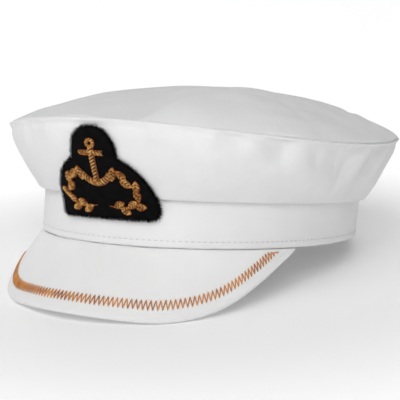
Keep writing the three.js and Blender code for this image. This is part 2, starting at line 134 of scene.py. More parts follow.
# Soft folds of the side panel: angle at the seam, angle at the foot, half width and height in millimetres
# (hollows are below zero), and where it starts and ends as shares of the way down
SWELLS = [
    (-25, -29, 4.0, 0.9, 0.0, 0.7),
    (-13.0, -12.6, 3.4, 0.8, 0.0, 0.5),
    (22, 22, 7.0, 0.9, 0.0, 0.35),
    (30.5, 30.5, 2.4, -0.4, 0.0, 0.3),
    (36, 36, 4.0, 0.9, 0.0, 0.35),
    (46, 47, 4.4, 1.0, 0.0, 0.5),
    (59, 60, 5.0, 0.9, 0.04, 0.7),
    (85, 80, 4.6, 0.8, 0.04, 0.85),
    (99, 95, 4.6, 1.0, 0.0, 0.7),
    (112, 109, 4.6, 1.0, 0.0, 0.6),
    (125, 126, 4.6, 1.0, 0.0, 0.7),
    (153, 154, 5.0, 1.0, 0.0, 0.6),
    (-164, -163, 5.0, 1.0, 0.0, 0.6),
    (-134, -133, 5.0, 1.0, 0.0, 0.7),
    (-105, -101, 5.0, 1.0, 0.0, 0.7),
    (-76, -74, 5.0, 1.0, 0.0, 0.6),
    (-35, -36, 4.0, 0.6, 0.0, 0.5),
]

# Pleats of the side panel, valleys from the seam down with a lip before them: angle at the seam, angle at the
# foot, step, width of the lip and reach in millimetres, and where it ends as a share of the way down
PLEATS = [
    (-18.2, -19.2, 1.3, 1.1, 5.0, 0.65),
    (41.4, 42.2, 0.9, 1.1, 4.0, 0.45),
    (53.4, 54.8, 2.6, 1.8, 6.5, 0.6),
    (64.4, 66.0, 2.4, 2.2, 6.5, 0.65),
    (71.6, 75.2, 3.2, 2.6, 7.0, 0.8),
    (80.0, 75.6, 5.0, 4.2, 9.0, 1.0),
    (92.6, 87.0, 5.8, 4.8, 10.0, 1.05),
    (105, 100, 3.0, 3.0, 8.0, 0.95),
    (118, 117, 2.0, 1.8, 6.0, 0.8),
    (131, 134, 2.4, 2.0, 7.0, 0.9),
    (146, 147, 1.8, 1.6, 6.0, 0.7),
    (161, 160, 2.0, 1.8, 6.0, 0.8),
    (175, 176, 1.6, 1.6, 6.0, 0.6),
    (-169, -168, 1.6, 1.6, 6.0, 0.6),
    (-156, -154, 2.2, 1.8, 6.0, 0.85),
    (-141, -142, 1.8, 1.8, 6.0, 0.7),
    (-127, -124, 2.4, 2.0, 7.0, 0.9),
    (-112, -110, 2.0, 1.8, 6.0, 0.8),
    (-97, -92, 2.8, 2.4, 7.0, 1.0),
    (-83, -79, 2.4, 2.0, 6.5, 0.85),
    (-69, -68, 1.8, 1.6, 5.5, 0.65),
    (-55, -55, 1.6, 1.4, 5.5, 0.6),
    (-42, -42.5, 1.2, 1.2, 5.0, 0.5),
]

# Shares of a pleat's step that go into its valley and its lip, and how round the valley is in millimetres
PLEAT_VALLEY = 0.8
PLEAT_LIP = 0.15
PLEAT_ROUND = 0.5

# Shoulder of the top panel, at the wearer's front left: angle, and how far out the panel folds over there.
# Then its height in millimetres, the angles where it rises and falls, and how fast it fades inwards
SHOULDER = np.array([
    (10, 1.02),
    (18, 0.985),
    (22, 0.91),
    (28, 0.835),
    (36, 0.785),
    (45, 0.755),
    (55, 0.73),
    (66, 0.71),
    (80, 0.73),
    (95, 0.78),
    (112, 0.84),
])
SHOULDER_HEIGHT = 3.1
SHOULDER_SPAN = (13, 27, 44, 76)
SHOULDER_FADES = (0.09, 0.24)

# Where the front of the top panel is rounded over at its seam: height in millimetres, share and angles
PILLOW_HEIGHT = 2.2
PILLOW_SHARE = 0.06
PILLOW_SPAN = (14, 28, 60, 104)

# Valleys of the top panel that run in from the seam: angle at the seam, angle further in, how far out it
# starts, half width and depth in millimetres
DOME_VALLEYS = [
    (66.0, 60.0, 0.69, 5.0, 0.9),
    (80.0, 78.0, 0.74, 4.0, 0.6),
    (90.0, 94.0, 0.72, 4.5, 0.7),
    (54.0, 50.0, 0.86, 3.0, 0.3),
    (-22.0, -16.0, 0.8, 5.0, 0.4),
    (140.0, 150.0, 0.6, 6.0, 0.7),
    (-60.0, -50.0, 0.65, 6.0, 0.7),
    (-105.0, -98.0, 0.7, 6.0, 0.8),
    (-150.0, -145.0, 0.66, 6.0, 0.7),
]

# Camera of the photograph, in the cap's worn frame: degrees and millimetres
CAMERA_AZIMUTH = 31.5
CAMERA_ELEVATION = 4.23
CAMERA_ROLL = 2.23
CAMERA_DISTANCE = 550.0
CAMERA_SIDE = -2.5
CAMERA_HEIGHT = 16.7
CAMERA_FOCUS = 950.0
IMAGE_SIZE = 400.0
SENSOR = 36.0
# Nearest and farthest that the camera sees, in metres
CAMERA_RANGE = (0.01, 20.0)

TURN = 2 * math.pi


def lerp(a, b, share):
    return a + (b - a) * share


def smoothstep(x, low, high):
    t = np.clip((x - low) / (high - low), 0.0, 1.0)
    return t * t * (3 - 2 * t)


def between(x, rises, full, falls, gone):
    """1 in the middle of a range, falling smoothly to 0 on both sides."""
    return smoothstep(x, rises, full) * (1 - smoothstep(x, falls, gone))


def hill(x, middle, half_width, power=2):
    return np.exp(-((x - middle) / half_width) ** power)


def unit(vectors):
    length = np.linalg.norm(vectors, axis=-1, keepdims=True)
    return vectors / np.maximum(length, 1e-12)


# Where the worn cap lies in the row frame

MOUNT_ANGLE = 178.0


def laid_down():
    """Rotation matrix and shift (mm) from the worn cap to the row frame, found by its mount."""
    mount = frame["record"]["mounts"][0]
    up = -np.array(mount["axis"])
    across = np.array([1.0, 0.0, 0.0])
    rotation = np.column_stack([across, np.cross(up, across), up])
    foot = beyond_band(np.radians(MOUNT_ANGLE), -BAND_WALL / 2, 0.0)
    return rotation, np.array(mount["pos_m"]) * 1000 - rotation @ foot


def outwards(angle):
    """Unit direction straight out of the band, level."""
    angle = np.asarray(angle, dtype=float)
    flat = np.stack([np.sin(angle) / BAND_WIDTH, -np.cos(angle) / BAND_LENGTH, 0 * angle], axis=-1)
    return unit(flat)


def beyond_band(angle, offset, height):
    """Points at an offset straight out of the band's ellipse and at a height."""
    angle, offset, height = np.broadcast_arrays(*np.atleast_1d(angle, offset, height))
    edge = np.stack([BAND_WIDTH / 2 * np.sin(angle), -BAND_LENGTH / 2 * np.cos(angle), height], axis=-1)
    return np.squeeze(edge + outwards(angle) * offset[..., None])


def band_lean(angle, height):
    lean = lerp(BAND_FRONT_LEAN, BAND_BACK_LEAN, (1 - np.cos(angle)) / 2)
    return height * np.tan(np.radians(lean))


# Side panel's section, as in the CAD part

ROLL_RADIUS = CLOTH_WALL + ROLL_GAP / 2


def roll_centre(angle):
    """Offset from the band and height of the roll's middle."""
    height = BAND_HEIGHT - ROLL_DROP + ROLL_FRONT_RISE * np.cos(angle) + ROLL_RADIUS
    return CLEARANCE + ROLL_RADIUS + band_lean(angle, height), height


def seam(angle):
    """Offset from the band and height of the seam between the side and the top panel."""
    rise = SEAM_END_RISE * np.cos(2 * angle) - SEAM_BACK_RISE * np.cos(angle)
    offset = lerp(FLARE_AT_ENDS, FLARE_AT_SIDES, np.sin(angle) ** 2)
    return offset, BAND_HEIGHT - ROLL_DROP + SIDE_HEIGHT + rise


def flare_start(angle):
    """Direction in which the flare leaves the roll, measured from straight up."""
    offset, height = roll_centre(angle)
    to_offset, to_height = seam(angle)
    return np.arctan2(FLARE_POWER * (to_offset - offset - ROLL_RADIUS), to_height - height)


def flare(angle, share):
    """Offset and height of the side panel at a share of the way up from the roll to the seam."""
    offset, height = roll_centre(angle)
    lean = flare_start(angle)
    to_offset, to_height = seam(angle)
    out = 1 - (1 - share) ** FLARE_POWER
    from_offset = offset + ROLL_RADIUS * np.cos(lean)
    from_height = height - ROLL_RADIUS * np.sin(lean)
    return lerp(from_offset, to_offset, out), lerp(from_height, to_height, share)


def turned(angle, start):
    """Degrees from start to an angle in radians, the shortest way round."""
    return (np.degrees(angle) - start + 180) % 360 - 180


# Shares of the way down: where a fold is at full depth, and how much of its reach keeps that depth
FOLD_START = 0.15
FOLD_HOLD = 0.4


def fold_depth(angle, share):
    down = 1 - share
    depth = np.zeros(np.broadcast(angle, share).shape)
    for start, width, deep, reach, lean in FOLDS:
        fade = between(down, 0, FOLD_START, reach * FOLD_HOLD, reach)
        left = turned(angle, start + lean * down)
        right = turned(angle, -start - FOLD_MIRROR_SHIFT - lean * down)
        depth += FOLD_DEPTH * deep * fade * (hill(left, 0, width) + hill(right, 0, width))
    return depth


# Seeded noise

LATTICE_ROWS = 64


def lattice_noise(x, y, cells, seed):
    """Smooth noise from -1 to 1 at x (in cells, repeating after that many) and y."""
    grid = np.random.default_rng(seed).uniform(-1, 1, (cells, LATTICE_ROWS))
    x, y = np.broadcast_arrays(x, y)
    x0, y0 = np.floor(x).astype(int), np.floor(y).astype(int)
    fx, fy = x - x0, y - y0
    fx, fy = fx * fx * (3 - 2 * fx), fy * fy * (3 - 2 * fy)
    x0, x1 = x0 % cells, (x0 + 1) % cells
    y0, y1 = y0 % LATTICE_ROWS, (y0 + 1) % LATTICE_ROWS
    return lerp(lerp(grid[x0, y0], grid[x1, y0], fx), lerp(grid[x0, y1], grid[x1, y1], fx), fy)


def ring_noise(angle, y, cells, seed):
    """Noise with so many cells all the way round the cap."""
    return lattice_noise((angle % TURN) / TURN * cells, y, cells, seed)


# Meshes

ROTATION, SHIFT = laid_down()


def to_row(points):
    """Points of the worn cap in mm, laid down and in metres."""
    return (np.asarray(points) @ ROTATION.T + SHIFT) / 1000


def face_outwards(mesh):
    solid = bmesh.new()
    solid.from_mesh(mesh)
    inverted = solid.calc_volume(signed=True) < 0
    solid.free()
    if inverted:
        mesh.flip_normals()
    mesh.validate()
    mesh.update()


def smooth_mesh(name, points, faces, material):
    mesh = bpy.data.meshes.new(name)
    mesh.from_pydata(points, [], faces)
    mesh.polygons.foreach_set("use_smooth", [True] * len(mesh.polygons))
    mesh.materials.append(material)
    return mesh


def put_in_scene(name, data):
    thing = bpy.data.objects.new(name, data)
    bpy.context.scene.collection.objects.link(thing)
    return thing


def new_piece(name, points, faces, uvs, material, slot, replaces=()):
    """A mesh piece from points in mm, faces as lists of corners, and a UV pair in mm for each face corner."""
    mesh = smooth_mesh(name, to_row(points).tolist(), faces, material)
    layer = mesh.uv_layers.new(name="UVMap")
    layer.data.foreach_set("uv", (np.asarray(uvs, dtype=float) / 1000).ravel())
    face_outwards(mesh)
    piece = put_in_scene(name, mesh)
    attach(piece, "root")
    if replaces:
        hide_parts(*replaces)


def grid_normals(points, closed):
    """Unit normals of a grid of points, rows by columns; closed grids meet themselves across the columns."""
    if closed:
        across = np.roll(points, -1, axis=1) - np.roll(points, 1, axis=1)
    else:
        across = np.gradient(points, axis=1)
    return unit(np.cross(across, np.gradient(points, axis=0)))


def path_lengths(points):
    """Length along each column from its first row, in mm."""
    steps = np.linalg.norm(np.diff(points, axis=0), axis=-1)
    return np.concatenate([np.zeros((1, points.shape[1])), np.cumsum(steps, axis=0)])


def rounded_end(outer, inner, beyond, steps=3):
    """Rows that round off the edge between the last outer row and the last inner row."""
    middle = (outer + inner) / 2
    half = (outer - inner) / 2
    out = beyond * np.linalg.norm(half, axis=-1, keepdims=True)
    turns = [math.pi * (i + 1) / (steps + 1) for i in range(steps)]
    return [middle + half * math.cos(turn) + out * math.sin(turn) for turn in turns]


def wall_loop(outer, normals, thickness, inner_step):
    """Rows of points up the outside of a wall, round its edge, down the inside and round its other edge."""
    count = len(outer)
    kept = sorted({*range(0, count, inner_step), count - 1})
    inner = outer - normals * thickness
    end = rounded_end(outer[-1], inner[-1], unit(outer[-1] - outer[-2]))
    start = rounded_end(outer[0], inner[0], unit(outer[0] - outer[1]))
    return np.array([*outer, *end, *[inner[i] for i in reversed(kept)], *reversed(start)])


def grid_faces(rows, columns, closed_rows, closed_columns, base=0):
    row = np.arange(rows if closed_rows else rows - 1)
    column = np.arange(columns if closed_columns else columns - 1)
    i, j = np.meshgrid(row, column, indexing="ij")
    i2, j2 = (i + 1) % rows, (j + 1) % columns
    corners = np.stack([i * columns + j, i * columns + j2, i2 * columns + j2, i2 * columns + j], axis=-1)
    return corners.reshape(-1, 4) + base, i.ravel(), j.ravel()


def grid_uvs(i, j, width, lengths):
    """UVs of grid faces: columns at even steps of width, and rows at the given lengths."""
    left, right = j * width, (j + 1) * width
    low, high = lengths[i], lengths[i + 1]
    corners = np.stack([left, low, right, low, right, high, left, high], axis=-1)
    return corners.reshape(-1, 2)


def wall_piece(name, loop, width, closed=True, **options):
    """A wall from a loop of rows, closed all the way round the cap or with two flat ends."""
    rows, columns = loop.shape[:2]
    faces, i, j = grid_faces(rows, columns, True, closed)
    lengths = np.mean(path_lengths(np.concatenate([loop, loop[:1]])), axis=1)
    points, faces, uvs = loop.reshape(-1, 3), faces.tolist(), grid_uvs(i, j, width, lengths)
    if not closed:
        left = [row * columns for row in range(rows)]
        right = [corner + columns - 1 for corner in reversed(left)]
        faces += [left, right]
        uvs = np.concatenate([uvs, points[left + right][:, 1:]])
    new_piece(name, points, faces, uvs, **options)


def disc_piece(name, loop, flat_axes, **options):
    """A closed sheet from rings of points, from the middle of its front round to the middle of its back."""
    rows, columns = loop.shape[:2]
    faces, _, _ = grid_faces(rows, columns, False, True)
    caps = [list(range(columns))[::-1], list(range((rows - 1) * columns, rows * columns))]
    corners = np.concatenate([faces.ravel(), caps[0], caps[1]])
    points = loop.reshape(-1, 3)
    new_piece(name, points, faces.tolist() + caps, points[corners][:, flat_axes], **options)


# Share at which the rings of a disc start, so that its middle is a small polygon
MIDDLE_SHARE = 0.004


def crowded(count, power):
    """Shares from the middle of a disc to 1, closer together towards 1."""
    shares = 1 - (1 - np.linspace(0, 1, count)) ** power
    shares[0] = MIDDLE_SHARE
    return shares


def running_length(line):
    return np.concatenate([[0], np.cumsum(np.linalg.norm(np.diff(line, axis=0), axis=-1))])


class Threads:
    """Tubes gathered into one mesh."""

    def __init__(self, sides):
        self.sides = sides
        self.points, self.faces, self.uvs = [], [], []
        self.count = 0

    def add(self, paths, radius, outward, blunt):
        """Tubes along paths (tubes, points, 3); outward points off the surface, blunt is the ends' share."""
        paths = np.asarray(paths, dtype=float)
        tubes, steps = paths.shape[:2]
        along = unit(np.gradient(paths, axis=1))
        side = unit(np.cross(along, np.broadcast_to(outward, paths.shape)))
        out = np.cross(side, along)
        share = np.linspace(0, 1, steps)
        ends = np.minimum(share, 1 - share) * (steps - 1)
        taper = np.where(ends < 0.5, blunt, 1.0)[None, :, None, None]
        turns = np.arange(self.sides) * TURN / self.sides
        round_ = np.cos(turns)[:, None] * out[:, :, None] + np.sin(turns)[:, None] * side[:, :, None]
        rings = paths[:, :, None] + radius * taper * round_
        corners, i, j = grid_faces(steps, self.sides, False, True)
        uvs = grid_uvs(i, j, TURN * radius / self.sides, running_length(paths[0]))
        for tube in range(tubes):
            base = self.count + tube * steps * self.sides
            self.faces += (corners + base).tolist()
            self.faces.append(list(range(base, base + self.sides))[::-1])
            last = base + (steps - 1) * self.sides
            self.faces.append(list(range(last, last + self.sides)))
            self.uvs += [uvs, np.zeros((2 * self.sides, 2))]
        self.points.append(rings.reshape(-1, 3))
        self.count += tubes * steps * self.sides

    def piece(self, name, **options):
        new_piece(name, np.concatenate(self.points), self.faces, np.concatenate(self.uvs), **options)


# Materials: scales of textures are per metre, distances of bumps in millimetres

WAVE_SCALE = 50.0
SLUB_SCALE = 900.0
CLOUD_SCALE = 38.0
WRINKLE_SCALE = 75.0
HAIR_SCALE = 1400.0
CLUMP_SCALE = 260.0
WIRE_DRIFT_SCALE = 420.0
THREAD_DRIFT_SCALE = 160.0
RIB_TURN = 45.0
RIB_SHARE = 0.7
SLUB_SHARE = 0.6
WEAVE_BUMP = 0.06
COIL_TURN = 78.0
COIL_BUMP = 0.12
TWIST_PITCH = 0.5
TWIST_TURN = 60.0
TWIST_BUMP = 0.08

SOCKETS = {"sheen_weight": "Sheen Weight", "sheen_roughness": "Sheen Roughness", "metallic": "Metallic",
           "specular_ior_level": "Specular IOR Level"}


class Nodes:
    """Short calls for building one material."""

    def __init__(self, name):
        self.material = bpy.data.materials.new(name)
        self.material.use_nodes = True
        self.tree = self.material.node_tree
        self.shader = self.tree.nodes["Principled BSDF"]
        self.uv = self.add("ShaderNodeUVMap").outputs["UV"]

    def add(self, kind, inputs=None, **settings):
        node = self.tree.nodes.new(kind)
        for key, value in settings.items():
            setattr(node, key, value)
        for key, value in (inputs or {}).items():
            if isinstance(value, bpy.types.NodeSocket):
                self.tree.links.new(value, node.inputs[key])
            else:
                node.inputs[key].default_value = value
        return node

    def noise(self, scale, detail=2.0, roughness=0.5, vector=None):
        inputs = {"Vector": vector or self.uv, "Scale": scale, "Detail": detail, "Roughness": roughness}
        return self.add("ShaderNodeTexNoise", inputs).outputs["Fac"]

    def waves(self, period, turn):
        """Even stripes with the given period in mm, turned by an angle in degrees."""
        spot = self.add("ShaderNodeMapping", {"Vector": self.uv, "Rotation": (0, 0, math.radians(turn))})
        inputs = {"Vector": spot.outputs["Vector"], "Scale": TURN * WAVE_SCALE / period}
        return self.add("ShaderNodeTexWave", inputs, bands_direction="X").outputs["Fac"]

    def math(self, operation, a, b):
        return self.add("ShaderNodeMath", {0: a, 1: b}, operation=operation).outputs["Value"]

    def between(self, factor, low, high):
        """A value from low to high as the factor goes from 0 to 1."""
        inputs = {"Value": factor, "To Min": low, "To Max": high}
        return self.add("ShaderNodeMapRange", inputs).outputs["Result"]

    def drift(self, scale):
        """Noise in the object's own space, so that neighbouring threads differ."""
        return self.noise(scale, 2.0, 0.6, self.add("ShaderNodeTexCoord").outputs["Object"])

    def ramp(self, factor, low, high, low_colour, high_colour):
        """Colours between two factors."""
        node = self.add("ShaderNodeValToRGB", {"Fac": factor})
        node.color_ramp.elements[0].position = low
        node.color_ramp.elements[0].color = (*low_colour, 1)
        node.color_ramp.elements[1].position = high
        node.color_ramp.elements[1].color = (*high_colour, 1)
        return node.outputs["Color"]

    def bump(self, height, distance, strength=1.0, normal=None):
        inputs = {"Height": height, "Distance": distance / 1000, "Strength": strength}
        if normal is not None:
            inputs["Normal"] = normal
        return self.add("ShaderNodeBump", inputs).outputs["Normal"]

    def finish(self, colour, roughness, normal, **sockets):
        self.tree.links.new(colour, self.shader.inputs["Base Color"])
        self.tree.links.new(roughness, self.shader.inputs["Roughness"])
        self.tree.links.new(normal, self.shader.inputs["Normal"])
        for key, value in sockets.items():
            self.shader.inputs[SOCKETS[key]].default_value = value
        return self.material


def cloth_material(name, light, dark, twill, wrinkle):
    """White twill: fine slanted ribs, crossing yarns, slubs, faint cloudiness and soft wrinkles."""
    nodes = Nodes(name)
    ribs = nodes.waves(twill, RIB_TURN)
    yarns = nodes.waves(twill * RIB_SHARE, -RIB_TURN)
    slubs = nodes.noise(SLUB_SCALE, 3.0, 0.6)
    weave = nodes.math("ADD", nodes.math("MULTIPLY", ribs, yarns), nodes.math("MULTIPLY", slubs, SLUB_SHARE))
    clouds = nodes.noise(CLOUD_SCALE, 4.0, 0.55)
    colour = nodes.ramp(clouds, 0.3, 0.7, dark, light)
    roughness = nodes.between(slubs, 0.72, 0.92)
    soft = nodes.bump(nodes.noise(WRINKLE_SCALE, 3.0, 0.5), wrinkle)
    fine = nodes.bump(weave, WEAVE_BUMP, 0.8, soft)
    return nodes.finish(colour, roughness, fine, sheen_weight=0.12, sheen_roughness=0.5)


def felt_material(name, light, dark):
    """Dull felt: fine hairs over clumps."""
    nodes = Nodes(name)
    hairs = nodes.noise(HAIR_SCALE, 4.0, 0.7)
    clumps = nodes.noise(CLUMP_SCALE, 3.0, 0.6)
    colour = nodes.ramp(clumps, 0.25, 0.8, dark, light)
    nap = nodes.bump(hairs, 0.3, 0.6, nodes.bump(clumps, 0.5, 0.5))
    return nodes.finish(colour, nodes.between(hairs, 0.85, 1.0), nap, specular_ior_level=0.06)


def metal_thread_material(name, light, dark, pitch):
    """Coiled wire: even turns across the thread, with a colour that drifts from thread to thread."""
    nodes = Nodes(name)
    coil = nodes.waves(pitch, COIL_TURN)
    drift = nodes.drift(WIRE_DRIFT_SCALE)
    colour = nodes.ramp(drift, 0.35, 0.66, dark, light)
    rough = nodes.between(drift, 0.28, 0.5)
    return nodes.finish(colour, rough, nodes.bump(coil, COIL_BUMP, 0.9), metallic=0.75)


def thread_material(name, light, dark):
    """Twisted sewing thread with a silky gloss."""
    nodes = Nodes(name)
    twist = nodes.waves(TWIST_PITCH, TWIST_TURN)
    colour = nodes.ramp(nodes.drift(THREAD_DRIFT_SCALE), 0.3, 0.7, dark, light)
    rough = nodes.between(twist, 0.4, 0.6)
    return nodes.finish(colour, rough, nodes.bump(twist, TWIST_BUMP, 0.7), sheen_weight=0.3)


CROWN_CLOTH = cloth_material("white_twill", (0.85, 0.85, 0.852), (0.80, 0.80, 0.803), 0.8, 0.7)
BAND_CLOTH = cloth_material("white_band_twill", (0.88, 0.88, 0.882), (0.84, 0.84, 0.843), 0.8, 0.35)
PEAK_CLOTH = cloth_material("white_peak_cloth", (0.92, 0.92, 0.918), (0.89, 0.89, 0.888), 0.5, 0.2)
FELT = felt_material("black_felt", (0.006, 0.006, 0.0065), (0.002, 0.002, 0.002))
GOLD_WIRE = metal_thread_material("gold_wire", (1.0, 0.6, 0.19), (0.42, 0.14, 0.025), 0.3)
COPPER_WIRE = metal_thread_material("copper_wire", (0.5, 0.15, 0.04), (0.22, 0.06, 0.02), 0.3)
# Dark brown thread for the embroidery's padding: painted shade in the gaps between the gold wires
PAINTED_SHADE_THREAD = thread_material("wire_gaps_painted_shade", (0.06, 0.025, 0.01), (0.02, 0.01, 0.006))
PEAK_THREAD = thread_material("orange_thread", (0.84, 0.36, 0.07), (0.42, 0.13, 0.025))
WHITE_THREAD = thread_material("white_thread", (0.74, 0.74, 0.74), (0.64, 0.64, 0.64))


# Side panel of the crown

SIDE_COLUMNS = 900
LEG_ROWS = 6
TURN_ROWS = 12
FLARE_ROWS = 44
HEM_HEIGHT = 4.5
INNER_STEP = 3
# Length of a column of the side panel, which is longer round than the band by this share
SIDE_GROWTH = 1.1
SIDE_COLUMN = TURN * (BAND_LENGTH + BAND_WIDTH) / 4 * SIDE_GROWTH / SIDE_COLUMNS


def side_panel():
    angle = np.arange(SIDE_COLUMNS) * TURN / SIDE_COLUMNS
    offset, height = roll_centre(angle)
    leg = []
    for share in np.linspace(0, 1, LEG_ROWS, endpoint=False):
        up = height + HEM_HEIGHT * (1 - share)
        leg.append(beyond_band(angle, CLEARANCE + band_lean(angle, up), up))
    turn = []
    for share in np.linspace(0, 1, TURN_ROWS, endpoint=False):
        swing = share * (math.pi - flare_start(angle))
        back, below = ROLL_RADIUS * np.cos(swing), ROLL_RADIUS * np.sin(swing)
        turn.append(beyond_band(angle, offset - back, height - below))
    rise = []
    for share in np.linspace(0, 1, FLARE_ROWS):
        out, up = flare(angle, share)
        rise.append(beyond_band(angle, out - fold_depth(angle, share), up))
    outer = np.array([*leg, *turn, *rise])
    normals = -grid_normals(outer, True)
    inside = np.sum(normals * outwards(angle), axis=-1)[-FLARE_ROWS // 2].mean() < 0
    normals = -normals if inside else normals
    share = np.linspace(0, 1, FLARE_ROWS)[:, None]
    outer[-FLARE_ROWS:] += normals[-FLARE_ROWS:] * side_relief(angle[None, :], share)[..., None]
    loop = wall_loop(outer, normals, CLOTH_WALL, INNER_STEP)
    options = {"material": CROWN_CLOTH, "slot": "crown_cloth", "replaces": ["crown_side"]}
    wall_piece("crown_side_panel", loop, SIDE_COLUMN, **options)


# How a fold of the side panel opens at its start and where it begins to close, as shares of the way down
FOLD_OPENS = (-0.02, 0.05)
FOLD_CLOSES = 0.3
# How much wider a swell gets down the panel
SWELL_SPREAD = 0.9

# Finer relief of the side panel: heights in millimetres, and lengths as shares of the way down
PUCKER_HEIGHT = 0.3
PUCKER_REACH = 0.14
WAVE_HEIGHT = 0.5
WAVE_START = 0.2
CRUMPLE_HEIGHT = 0.14
FOOT_SHARE = 0.16
TUCK_SPAN = (2, 14, 50, 64)
TUCK_SLOPE = 3.6
TUCK_REACH = 0.2
SEAM_RIDGE = 0.7
SEAM_GROOVE = 0.4
SEAM_GROOVE_PLACE = 0.075
SEAM_RIDGE_WIDTH = 0.03


def along_fold(angle, down, top, foot, start, end):
    """Distance in mm from a fold that runs down the side panel, and how much of it there is left."""
    place = lerp(top, foot, (down - start) / (end - start))
    away = np.radians(turned(angle, place)) * (BAND_LENGTH + BAND_WIDTH + 4 * FLARE_AT_ENDS) / 4
    opens = [start + share for share in FOLD_OPENS]
    return away, between(down, *opens, lerp(start, end, FOLD_CLOSES), end)


def side_relief(angle, share):
    """How far the cloth stands out from the plain flare in mm: swells, pleats, puckers, waves, seam edge."""
    down = 1 - share
    relief = np.zeros(np.broadcast(angle, share).shape)
    for top, foot, width, height, start, end in SWELLS:
        away, fade = along_fold(angle, down, top, foot, start, end)
        relief += height * fade * hill(away, 0, width * (1 + SWELL_SPREAD * down))
    for top, foot, step, width, reach, end in PLEATS:
        away, fade = along_fold(angle, down, top, foot, 0.0, end)
        away = away * math.copysign(1.0, top)
        lip = PLEAT_LIP * np.tanh(away / (width * (1 + down))) * np.exp(-np.abs(away) / reach)
        relief -= step * fade * (PLEAT_VALLEY * np.exp(-np.hypot(away, PLEAT_ROUND) / reach) + lip)
    puckers = ring_noise(angle, 0.5, 96, 3) + 0.6 * ring_noise(angle, 7.5, 170, 4)
    relief += PUCKER_HEIGHT * puckers * hill(down, 0, PUCKER_REACH, 1.5)
    relief += WAVE_HEIGHT * ring_noise(angle, down * 2.2, 30, 5) * smoothstep(down, 0, WAVE_START)
    relief += CRUMPLE_HEIGHT * ring_noise(angle, down * 5.0, 90, 6)
    relief *= smoothstep(share, 0.0, FOOT_SHARE)
    relief -= TUCK_SLOPE * between(turned(angle, 0.0), *TUCK_SPAN) * np.maximum(0, TUCK_REACH - down)
    relief += SEAM_RIDGE * hill(down, 0, SEAM_RIDGE_WIDTH)
    relief -= SEAM_GROOVE * hill(down, SEAM_GROOVE_PLACE, SEAM_RIDGE_WIDTH)
    return relief


# Top panel

DOME_COLUMNS = 720
DOME_ROWS = 80
DOME_CROWDING = 1.35
DOME_INNER_STEP = 4
SEAM_GAP = 0.06

# Dent beside the shoulder: angle and share, its half sizes, and its depth in millimetres
DENT_PLACE = (14.0, 0.95)
DENT_SIZE = (9.0, 0.1)
DENT_DEPTH = 1.1

# Waves of the top panel in millimetres, and the shares or angles where they set in
CLOTH_WAVE = 0.42
CLOTH_WAVE_STARTS = (0.35, 0.8)
RIPPLE_HEIGHT = 0.5
RIPPLE_LEAST = 0.08
RIPPLE_SPAN = (30, 55, 110, 140)
RIM_PUCKER = 0.24
RIM_PUCKER_STARTS = (0.8, 0.97)
BROAD_WAVE = 0.35
BROAD_WAVE_CELLS = 4
# Radius in millimetres that turns angles into lengths along the top panel's edge
DOME_RADIUS = 100.0


def dome_dent(x, y):
    depth = 0 * x
    for angle, out, spread, deep in DOME_DENTS:
        turn = math.radians(angle)
        away = np.hypot(x - out * math.sin(turn), y + out * math.cos(turn))
        depth = depth + DOME_DENT_DEPTH * deep * hill(away, 0, spread)
    return depth * smoothstep(1 - np.hypot(x, y), 0, 0.2)


def shoulder(angle, v):
    """Height in mm of the fold that runs from the seam up over the top panel: steep outside, then fading."""
    place = turned(angle, 0.0)
    fold = np.interp(place, SHOULDER[:, 0], SHOULDER[:, 1])
    high = SHOULDER_HEIGHT * between(place, *SHOULDER_SPAN)
    outside = np.clip((1 - v) / np.maximum(1 - fold, 1e-3), 0, 1)
    soft = lerp(0.004, 0.05, smoothstep(place, 32, 62))
    inwards = np.maximum(fold - v, 0)
    fade = lerp(SHOULDER_FADES[0], SHOULDER_FADES[1], smoothstep(place, 30, 58))
    inside = np.exp(-(np.hypot(inwards, soft) - soft) / fade)
    return high * np.where(v > fold, 1 - (1 - outside) ** 1.7, inside)


def dome_relief(angle, v):
    """Folds and soft waves of the top panel, in mm, at a share v of the way from its middle to the seam."""
    edge = smoothstep(v, *CLOTH_WAVE_STARTS)
    place = turned(angle, 0.0)
    relief = shoulder(angle, v)
    front = between(place, *PILLOW_SPAN) * smoothstep(v, 0.3, 0.7)
    relief += PILLOW_HEIGHT * front * (1 - np.exp((v - 1) / PILLOW_SHARE))
    for seam_turn, inner_turn, start, width, depth in DOME_VALLEYS:
        line = lerp(inner_turn, seam_turn, (v - start) / (1 - start))
        away = np.radians(turned(angle, line)) * DOME_RADIUS * v
        relief -= depth * hill(away, 0, width) * smoothstep(v, start - 0.12, start + 0.1) * (1 - v ** 14)
    dent_angle, dent_share = DENT_PLACE
    dent = hill(turned(angle, dent_angle), 0, DENT_SIZE[0]) * hill(v, dent_share, DENT_SIZE[1])
    relief -= DENT_DEPTH * dent
    relief += CLOTH_WAVE * ring_noise(angle, v * 9.0, 26, 11) * edge
    ripples = RIPPLE_HEIGHT * between(place, *RIPPLE_SPAN) + RIPPLE_LEAST
    relief += ripples * ring_noise(angle, v * 24.0, 12, 12) * edge
    relief += RIM_PUCKER * ring_noise(angle, v * 6.0, 88, 13) * smoothstep(v, *RIM_PUCKER_STARTS)
    x, y = v * np.sin(angle) * BROAD_WAVE_CELLS, v * np.cos(angle) * BROAD_WAVE_CELLS
    relief += BROAD_WAVE * lattice_noise(3 + x, 3 + y, LATTICE_ROWS, 14)
    return relief


